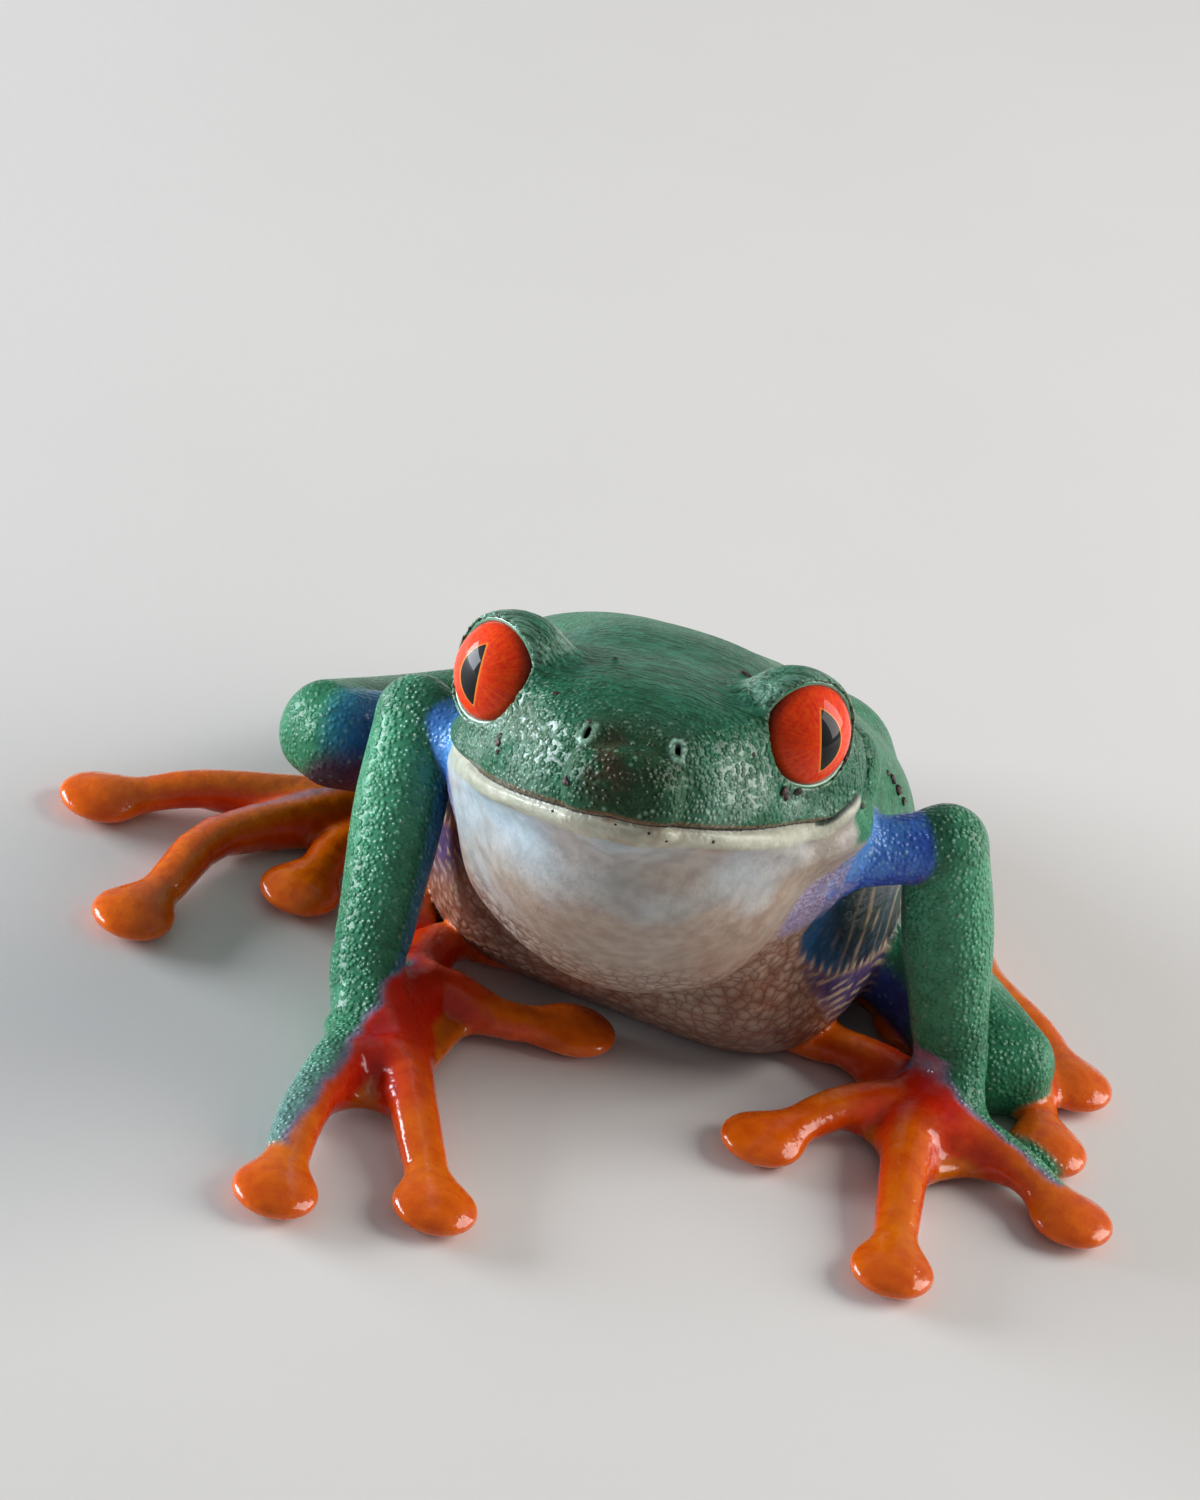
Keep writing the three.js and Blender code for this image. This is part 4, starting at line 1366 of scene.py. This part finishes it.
def eye_material(look):
    """Red iris with rays and flecks, with painted shade at its edge under the lids, and a black slit in a
    fine orange line.
    """
    nodes = Nodes("frog_eye")
    pupil, ring, angle = (nodes.attribute(name) for name in ("pupil", "ring", "angle"))
    rays_at = nodes.add("ShaderNodeCombineXYZ", {0: nodes.times(angle, 9.0), 1: ring}).outputs[0]
    rays = nodes.noise(0.8, 4.0, 0.6, place=rays_at)
    flecks = nodes.noise(0.22, 4.0, 0.65)
    colour = nodes.mix(nodes.ramp(rays, (0.3, 0.0), (0.7, 1.0)), look.iris_dark, look.iris)
    colour = nodes.mix(nodes.ramp(flecks, (0.35, 0.0), (0.75, 0.55)), colour, look.iris_light)
    # painted shade where the lids meet the iris
    colour = nodes.mix(nodes.ramp(ring, (0.70, 0.0), (1.0, 1.0)), colour, IRIS_LID_SHADE)
    colour = nodes.mix(nodes.ramp(pupil, (0.0, 1.0), (0.16, 0.0)), colour, PUPIL_EDGE)
    colour = nodes.mix(nodes.math("LESS_THAN", pupil, 0.0), colour, PUPIL_BLACK)
    return nodes.finished(
        {
            "Base Color": colour,
            "Roughness": nodes.math("MULTIPLY_ADD", flecks, 0.20, 0.45),
            "Specular IOR Level": 0.1,
            "Coat Weight": 0.6,
            "Coat Roughness": 0.02,
            "Coat IOR": 1.34,
            "Normal": nodes.bumps(flecks, 0.006),
        }
    )


def floor_material(look):
    """Pale matt card with faint clouds."""
    nodes = Nodes("stage_floor")
    dimmer = tuple(0.94 * value for value in look.floor)
    return nodes.finished(
        {
            "Base Color": nodes.mix(nodes.noise(40.0), look.floor, dimmer),
            "Roughness": nodes.math("MULTIPLY_ADD", nodes.noise(6.0), 0.1, 0.6),
            "Normal": nodes.bumps(nodes.noise(0.8, 3.0), 0.01),
        }
    )


# ------------------------------------------------------------------ what a user may change


def colour_choice(name, description, default):
    return FloatVectorProperty(
        name=name, description=description, default=default, subtype="COLOR", size=3, min=0, max=1
    )


def size_choice(name, description, size):
    """A length, which is given here in mm."""
    return FloatProperty(
        name=name, description=description, default=size * MM, min=0.001 * MM, precision=5, unit="LENGTH"
    )


def angle_choice(name, description, degrees):
    return FloatProperty(name=name, description=description, default=math.radians(degrees), subtype="ANGLE")


class FrogSkinSettings(bpy.types.PropertyGroup):
    """Colours and grain of the skin."""

    cell: size_choice("Mesh step", "Spacing of the skin's mesh", 0.17)
    wart: size_choice("Wart size", "Spacing of the fine warts", 0.30)
    belly_grain: size_choice("Belly grain", "Spacing of the belly's granules", 0.70)
    green: colour_choice("Green", "Back and outside of the limbs", (0.012, 0.140, 0.062))
    green_light: colour_choice("Light green", "Paler patches of the back", (0.046, 0.240, 0.120))
    # this colour is painted shade: the middle of the snout is darkened
    snout: colour_choice("Snout", "Darker skin between the nostrils", (0.016, 0.045, 0.015))
    brown: colour_choice("Brown", "Freckles on the snout", (0.07, 0.03, 0.015))
    # this colour is the painted wet highlight on the rims of lids and nostrils and the painted sheen of the
    # cheeks; it also paints the pale line at the top of each arm's root
    lid: colour_choice("Lid", "Wet rims of eyelids and nostrils", (0.26, 0.44, 0.33))
    lip: colour_choice("Lip", "Band along the lower lip", (0.46, 0.47, 0.37))
    stain: colour_choice("Stain", "Brown stain below the snout", (0.30, 0.15, 0.06))
    throat: colour_choice("Throat", "Smooth skin of the throat", (0.44, 0.54, 0.60))
    throat_warm: colour_choice("Warm throat", "Warmer patches of the throat", (0.36, 0.29, 0.23))
    belly: colour_choice("Belly", "Granular skin of the belly", (0.31, 0.235, 0.175))
    # this colour also stands for painted shade low on the belly
    belly_low: colour_choice("Low belly", "Rosier sides and underside of the belly", (0.23, 0.092, 0.052))
    flank: colour_choice("Flank", "Dark side between arm and groin", (0.006, 0.014, 0.020))
    flank_blue: colour_choice("Flank blue", "Teal front of the dark side", (0.010, 0.075, 0.17))
    flank_violet: colour_choice("Flank violet", "Below the streaks and on the thighs", (0.035, 0.03, 0.12))
    cream: colour_choice("Cream", "Bars, dots and streaks of the flank", (0.50, 0.36, 0.24))
    blue: colour_choice("Blue", "Upper arms and insides of the limbs", (0.03, 0.09, 0.46))
    blue_light: colour_choice("Light blue", "Paler blue of the upper arms", (0.09, 0.30, 0.66))
    lavender: colour_choice("Lavender", "Start of the upper arms", (0.36, 0.30, 0.46))
    purple: colour_choice("Purple", "Undersides of arms and knees", (0.085, 0.015, 0.055))
    wrist: colour_choice("Wrist", "Fade between green forearm and red hand", (0.24, 0.20, 0.30))
    red: colour_choice("Red", "Palms", (0.56, 0.012, 0.001))
    sole: colour_choice("Sole", "Soles of the feet", (0.58, 0.12, 0.001))
    web: colour_choice("Web", "Webs between the digits", (0.52, 0.12, 0.001))
    orange: colour_choice("Orange", "Fingers and toes", (0.66, 0.085, 0.0003))
    orange_light: colour_choice("Light orange", "Paler fingers and toes", (0.72, 0.145, 0.0004))
    disc: colour_choice("Disc", "Discs of fingers and toes", (0.66, 0.092, 0.0003))


class FrogEyeSettings(bpy.types.PropertyGroup):
    """Sizes and colours of the eyes."""

    opening: size_choice("Lid opening", "Half width of the opening between the lids", 2.84)
    opening_tall: size_choice("Lid height", "Half height of the opening between the lids", 2.60)
    rim: size_choice("Lid rim", "Thickness of the wet rim of the lids", 0.32)
    pupil_tall: size_choice("Pupil height", "Height of the slit of the pupil", 3.15)
    pupil_wide: size_choice("Pupil width", "Width of the slit of the pupil", 1.3)
    iris: colour_choice("Iris", "Main colour of the iris", (1.0, 0.045, 0.0002))
    iris_dark: colour_choice("Dark iris", "Rays of the iris", (0.72, 0.012, 0.0001))
    iris_light: colour_choice("Light iris", "Flecks of the iris", (1.0, 0.13, 0.002))


class FrogStageSettings(bpy.types.PropertyGroup):
    """Floor, light and camera."""

    floor: colour_choice("Floor", "Colour of the floor", (0.80, 0.78, 0.75))
    azimuth: angle_choice("Azimuth", "Side from which the camera looks", 12.0)
    elevation: angle_choice("Elevation", "Height from which the camera looks", 30.0)
    roll: angle_choice("Roll", "Lean of the camera", 15.0)


# ------------------------------------------------------------------ pieces


CORNEA = 0.012  # how far the cornea stands out, as a share of the eyeball's radius
LID_CLEAR = 0.03  # how far the middle of the lid's rim stands outside the opening, in mm


def choices(group):
    """Name and value of each setting in a group."""
    return [(name, getattr(group, name)) for name in type(group).__annotations__]


def whole_frog(context):
    """The frog's distance, with the eyes of the frame and the lids that the user chose."""
    eyes = context.scene.frog_eyes
    return Frog(*eye_measures(), (eyes.opening / MM, eyes.opening_tall / MM))


def box_centre(name):
    low, high = (np.array(corner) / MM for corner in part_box(name))
    return (low + high) / 2


class FROG_OT_skin(bpy.types.Operator):
    """Build the unbroken skin of the whole frog"""

    bl_idname = "frog.skin"
    bl_label = "Skin"

    def execute(self, context):
        look = context.scene.frog_skin
        frog = whole_frog(context)
        cell = look.cell / MM
        low, high = (np.array(corner) / MM for corner in CAD_BOX)
        margin = 4 * cell + 0.8
        low, high = low - margin, high + margin
        values = sampled(frog.distance, low, high, cell)
        points, quads = netted(values, low, cell)
        points = relaxed(points, quads)
        points, _ = settled(points, frog.distance)
        skin = mesh_object("skin", points, quads)
        tints = {name: np.array(value) for name, value in choices(look) if hasattr(value, "__len__")}
        finish = Paint(points, frog, tints)
        paint(skin, "tint", np.clip(finish.colour, 0, 1))
        for name, values in finish.masks.items():
            paint(skin, name, values)
        skin.data.materials.append(skin_material(look))
        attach(skin, "root")
        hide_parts(*[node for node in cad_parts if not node.startswith("eye_")])
        return {"FINISHED"}


def eye_measures():
    """Radius of the eyeballs and their distance from the middle of the head, in mm, from the frame."""
    low, high = (np.array(corner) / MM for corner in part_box("eye_left"))
    apart = np.linalg.norm(box_centre("eye_left") - box_centre("eye_right"))
    return float((high - low).mean() / 2), float(apart / 2)


def globe(polar, parts):
    """Directions in rings at those angles from the pole, with both poles last, and triangles over them."""
    around, down = np.meshgrid(np.arange(parts) / parts * 2 * math.pi, polar)
    rings = np.stack([np.sin(down) * np.cos(around), np.sin(down) * np.sin(around), np.cos(down)], -1)
    points = np.vstack([rings.reshape(-1, 3), [[0, 0, 1], [0, 0, -1]]])
    index = np.arange(len(polar) * parts).reshape(-1, parts)
    after = np.roll(index, -1, 1)
    a, b, c, d = (rows.ravel() for rows in (index[:-1], index[1:], after[1:], after[:-1]))
    top, bottom = (np.full(parts, len(points) - i) for i in (2, 1))
    corners = (a, b, c), (a, c, d), (top, index[0], after[0]), (bottom, after[-1], index[-1])
    return points, np.concatenate([np.stack(three, -1) for three in corners])


def eyeball(name, side, look):
    """A ball with a slightly raised cornea, its pole where the pupil is."""
    radius, _ = eye_measures()
    out_angle, lift, lean = PUPILS[name]
    gaze = facing(side, out_angle, lift)
    up = vec(math.sin(math.radians(lean)), 0, math.cos(math.radians(lean)))
    up = unit(up - gaze * (up @ gaze))
    axes = np.stack([np.cross(up, gaze) * side, up, gaze])
    rings, parts = ((120, 192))
    local, faces = globe(np.linspace(0, 1, rings + 1)[1:-1] ** 1.25 * math.pi, parts)
    from_pole = np.arccos(np.clip(local[:, 2], -1, 1))
    local = local * (radius * (1 + CORNEA * bump(from_pole, 0, 0.9)))[:, None]
    points = box_centre(name) + (local @ axes) @ HEAD_TURN.T
    eye = mesh_object(name + "_ball", points, faces if side > 0 else faces[:, ::-1])
    # the slit: one edge almost straight, the other bowed
    u, v = local[:, 0], local[:, 1]
    half = look.pupil_tall / MM / 2
    width = look.pupil_wide / MM * np.clip(1 - (v / half) ** 2, 0, 1) ** 0.8
    middle, reach = width * 0.28, width * 0.5
    slit = np.where(np.abs(v) < half, np.abs(u - middle) - reach, np.hypot(u, np.abs(v) - half))
    paint(eye, "pupil", np.where(local[:, 2] < 0, 1.0, slit))
    off_axis = np.arccos(np.clip(local @ axes @ facing(side, EYE_OUT, EYE_LIFT) / radius, -1, 1))
    paint(eye, "ring", off_axis / math.asin(0.92))
    paint(eye, "angle", np.arctan2(v, u))
    return eye


def tube(name, centres, outward, radius, sides=12):
    """A closed ring of round section. outward points away from the middle of the ring at each centre."""
    along = unit(np.roll(centres, -1, 0) - np.roll(centres, 1, 0))
    third = unit(np.cross(along, outward))
    outward = np.cross(third, along)
    turns = np.arange(sides) / sides * 2 * math.pi
    ring = np.cos(turns)[None, :, None] * outward[:, None] + np.sin(turns)[None, :, None] * third[:, None]
    points = (centres[:, None] + radius * ring).reshape(-1, 3)
    index = np.arange(len(points)).reshape(len(centres), sides)
    there, after = np.roll(index, -1, 0), np.roll(index, -1, 1)
    both = np.roll(there, -1, 1)
    thing = mesh_object(name, points, np.stack([index, after, both, there], -1).reshape(-1, 4))
    paint(thing, "inward", np.tile(-np.cos(turns), len(centres)))
    return thing


def lid_rim(name, side, look):
    """The wet edge of the lids, which hugs the eyeball all round its opening."""
    radius, _ = eye_measures()
    gaze, out, up = lid_axes()
    thick = look.rim / MM
    turns = np.linspace(0, 2 * math.pi, 120, endpoint=False)[:, None]
    width = (look.opening / MM + LID_CLEAR) * np.cos(turns)
    height = (look.opening_tall / MM + LID_CLEAR) * np.sin(turns)
    ahead = np.sqrt(np.maximum((radius + thick * 0.25) ** 2 - width**2 - height**2, 0.1))
    ring = gaze * ahead + out * width + up * height
    outward = unit(out * np.cos(turns) + up * np.sin(turns))
    mirror = vec(side, 1, 1)
    centres = box_centre(name) + (ring * mirror) @ HEAD_TURN.T
    return tube(name + "_lid_rim", centres, (outward * mirror) @ HEAD_TURN.T, thick / 2)


class FROG_OT_eyes(bpy.types.Operator):
    """Build both eyeballs with their slit pupils, and the wet rims of their lids"""

    bl_idname = "frog.eyes"
    bl_label = "Eyes"

    def execute(self, context):
        look = context.scene.frog_eyes
        finish, wet = eye_material(look), rim_material(context.scene.frog_skin)
        for name, side in (("eye_right", -1), ("eye_left", 1)):
            rim = lid_rim(name, side, look)
            rim.data.materials.append(wet)
            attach(rim, "root")
            eye = eyeball(name, side, look)
            eye.data.materials.append(finish)
            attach(eye, "root")
            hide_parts(name)
        return {"FINISHED"}


class FROG_OT_crumbs(bpy.types.Operator):
    """Build the small dark crumbs of earth that cling to the skin"""

    bl_idname = "frog.crumbs"
    bl_label = "Crumbs"

    def execute(self, context):
        frog = whole_frog(context)
        seeds = np.array(CRUMBS)
        places, normals = settled(from_head(seeds[:, :3]), frog.distance, rounds=14)
        points, faces = [], []
        for i, (place, normal, size) in enumerate(zip(places, normals, seeds[:, 3])):
            lump, sides = crumb(size, i)
            above = np.array(Vector(normal).to_track_quat("Z", "Y").to_matrix())
            faces.append(sides + sum(len(part) for part in points))
            points.append(place + lump @ above.T)
        crumbs = mesh_object("crumbs", np.concatenate(points), np.concatenate(faces))
        crumbs.data.materials.append(crumb_material())
        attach(crumbs, "root")
        return {"FINISHED"}


def crumb(size, seed):
    """A flat ragged lump, about z = 0."""
    lump, faces = globe(np.arange(1, 9) / 9 * math.pi, 14)
    ragged = 0.72 + 0.75 * (cloud(lump, 0.75, 30 + seed) - 0.3)
    return lump * ragged[:, None] * size * (1.15, 0.9, 0.62), faces


# ------------------------------------------------------------------ stage


FLOOR_HALF = 1600.0  # half the width of the floor, in mm
AIM = (0, -8, 12)  # where the lights point, in mm
# Place, width and height in mm, strength and colour of each soft light
LIGHTS = {
    "light_right": ((-362, -40, 70), (280, 135), 2.25, (0.86, 0.93, 1.0)),
    "light_left": ((330, 170, 200), (300, 330), 2.0, (1.0, 0.97, 0.94)),
}
AIR, AIR_STRENGTH = (0.9, 0.93, 1.0, 1), 0.24  # light from all round
CAMERA_AWAY = 330.0  # from the camera to the head, in mm
CAMERA_ASIDE, CAMERA_BELOW = 2.6, 2.4  # how far left of the head and below it the view is centred, in mm
LENS, FILM = 158.4, 36.0  # focal length, and long side of the film, in mm


def softbox(name, place, size, power, colour):
    light = bpy.data.lights.new(name, "AREA")
    light.shape = "RECTANGLE"
    light.size, light.size_y = size[0] * MM, size[1] * MM
    light.energy = power
    light.color = colour
    lamp = bpy.data.objects.new(name, light)
    bpy.context.scene.collection.objects.link(lamp)
    place, aim = Vector(place) * MM, Vector(AIM) * MM
    turned = (aim - place).to_track_quat("-Z", "Y").to_matrix().to_4x4()
    lamp.matrix_world = Matrix.Translation(place) @ turned


class FROG_OT_stage(bpy.types.Operator):
    """Set the floor, the soft lights and the camera"""

    bl_idname = "frog.stage"
    bl_label = "Stage"

    def execute(self, context):
        look = context.scene.frog_stage
        steps = np.linspace(-FLOOR_HALF, FLOOR_HALF, 9)
        index = np.arange(len(steps) ** 2).reshape(len(steps), -1)
        squares = index[:-1, :-1], index[:-1, 1:], index[1:, 1:], index[1:, :-1]
        grid = np.array([(a, b, 0) for b in steps for a in steps])
        floor = mesh_object("floor", grid, np.stack(squares, -1).reshape(-1, 4))
        floor.data.materials.append(floor_material(look))
        self.camera(context, look)
        for name, light in LIGHTS.items():
            softbox(name, *light)
        world = bpy.data.worlds.new("stage_air")
        world.use_nodes = True
        world.node_tree.nodes["Background"].inputs["Color"].default_value = AIR
        world.node_tree.nodes["Background"].inputs["Strength"].default_value = AIR_STRENGTH
        context.scene.world = world
        context.scene.view_settings.view_transform = "Standard"
        return {"FINISHED"}

    def camera(self, context, look):
        """Looks at the head from the front left of the frog, leaning, with a long lens."""
        a, e, lean = look.azimuth, look.elevation, look.roll
        back = Vector((math.sin(a) * math.cos(e), -math.cos(a) * math.cos(e), math.sin(e)))
        level = Vector((math.cos(a), math.sin(a), 0))
        above = back.cross(level)
        right = math.cos(lean) * level + math.sin(lean) * above
        up = -math.sin(lean) * level + math.cos(lean) * above
        place = Vector(HEAD_AT) + back * CAMERA_AWAY - right * CAMERA_ASIDE - up * CAMERA_BELOW
        camera = bpy.data.cameras.new("camera")
        camera.sensor_width = FILM
        camera.lens = LENS
        camera.clip_start = 0.01
        camera.clip_end = 20.0
        view = bpy.data.objects.new("camera", camera)
        context.scene.collection.objects.link(view)
        turned = Matrix((right, up, back)).transposed().to_4x4()
        view.matrix_world = Matrix.Translation(place * MM) @ turned
        context.scene.camera = view


class FROG_PT_panel(bpy.types.Panel):
    """Settings and builders of the frog"""

    bl_idname = "FROG_PT_panel"
    bl_label = "Red-eyed tree frog"
    bl_space_type = "VIEW_3D"
    bl_region_type = "UI"
    bl_category = "Frog"

    def draw(self, context):
        builders = {"frog_skin": FROG_OT_skin, "frog_eyes": FROG_OT_eyes, "frog_stage": FROG_OT_stage}
        for settings, operator in builders.items():
            box = self.layout.box()
            box.operator(operator.bl_idname)
            group = getattr(context.scene, settings)
            for name, _ in choices(group):
                box.prop(group, name)
        self.layout.operator(FROG_OT_crumbs.bl_idname)


SETTINGS = {"frog_skin": FrogSkinSettings, "frog_eyes": FrogEyeSettings, "frog_stage": FrogStageSettings}
CLASSES = (*SETTINGS.values(), FROG_OT_skin, FROG_OT_eyes, FROG_OT_crumbs, FROG_OT_stage, FROG_PT_panel)


def register():
    for cls in CLASSES:
        bpy.utils.register_class(cls)
    for name, group in SETTINGS.items():
        setattr(bpy.types.Scene, name, PointerProperty(type=group))


def unregister():
    for name in SETTINGS:
        delattr(bpy.types.Scene, name)
    for cls in reversed(CLASSES):
        bpy.utils.unregister_class(cls)


def main():
    register()
    bpy.ops.frog.skin()
    bpy.ops.frog.eyes()
    bpy.ops.frog.crumbs()
    bpy.ops.frog.stage()


if __name__ == "__main__":
    main()
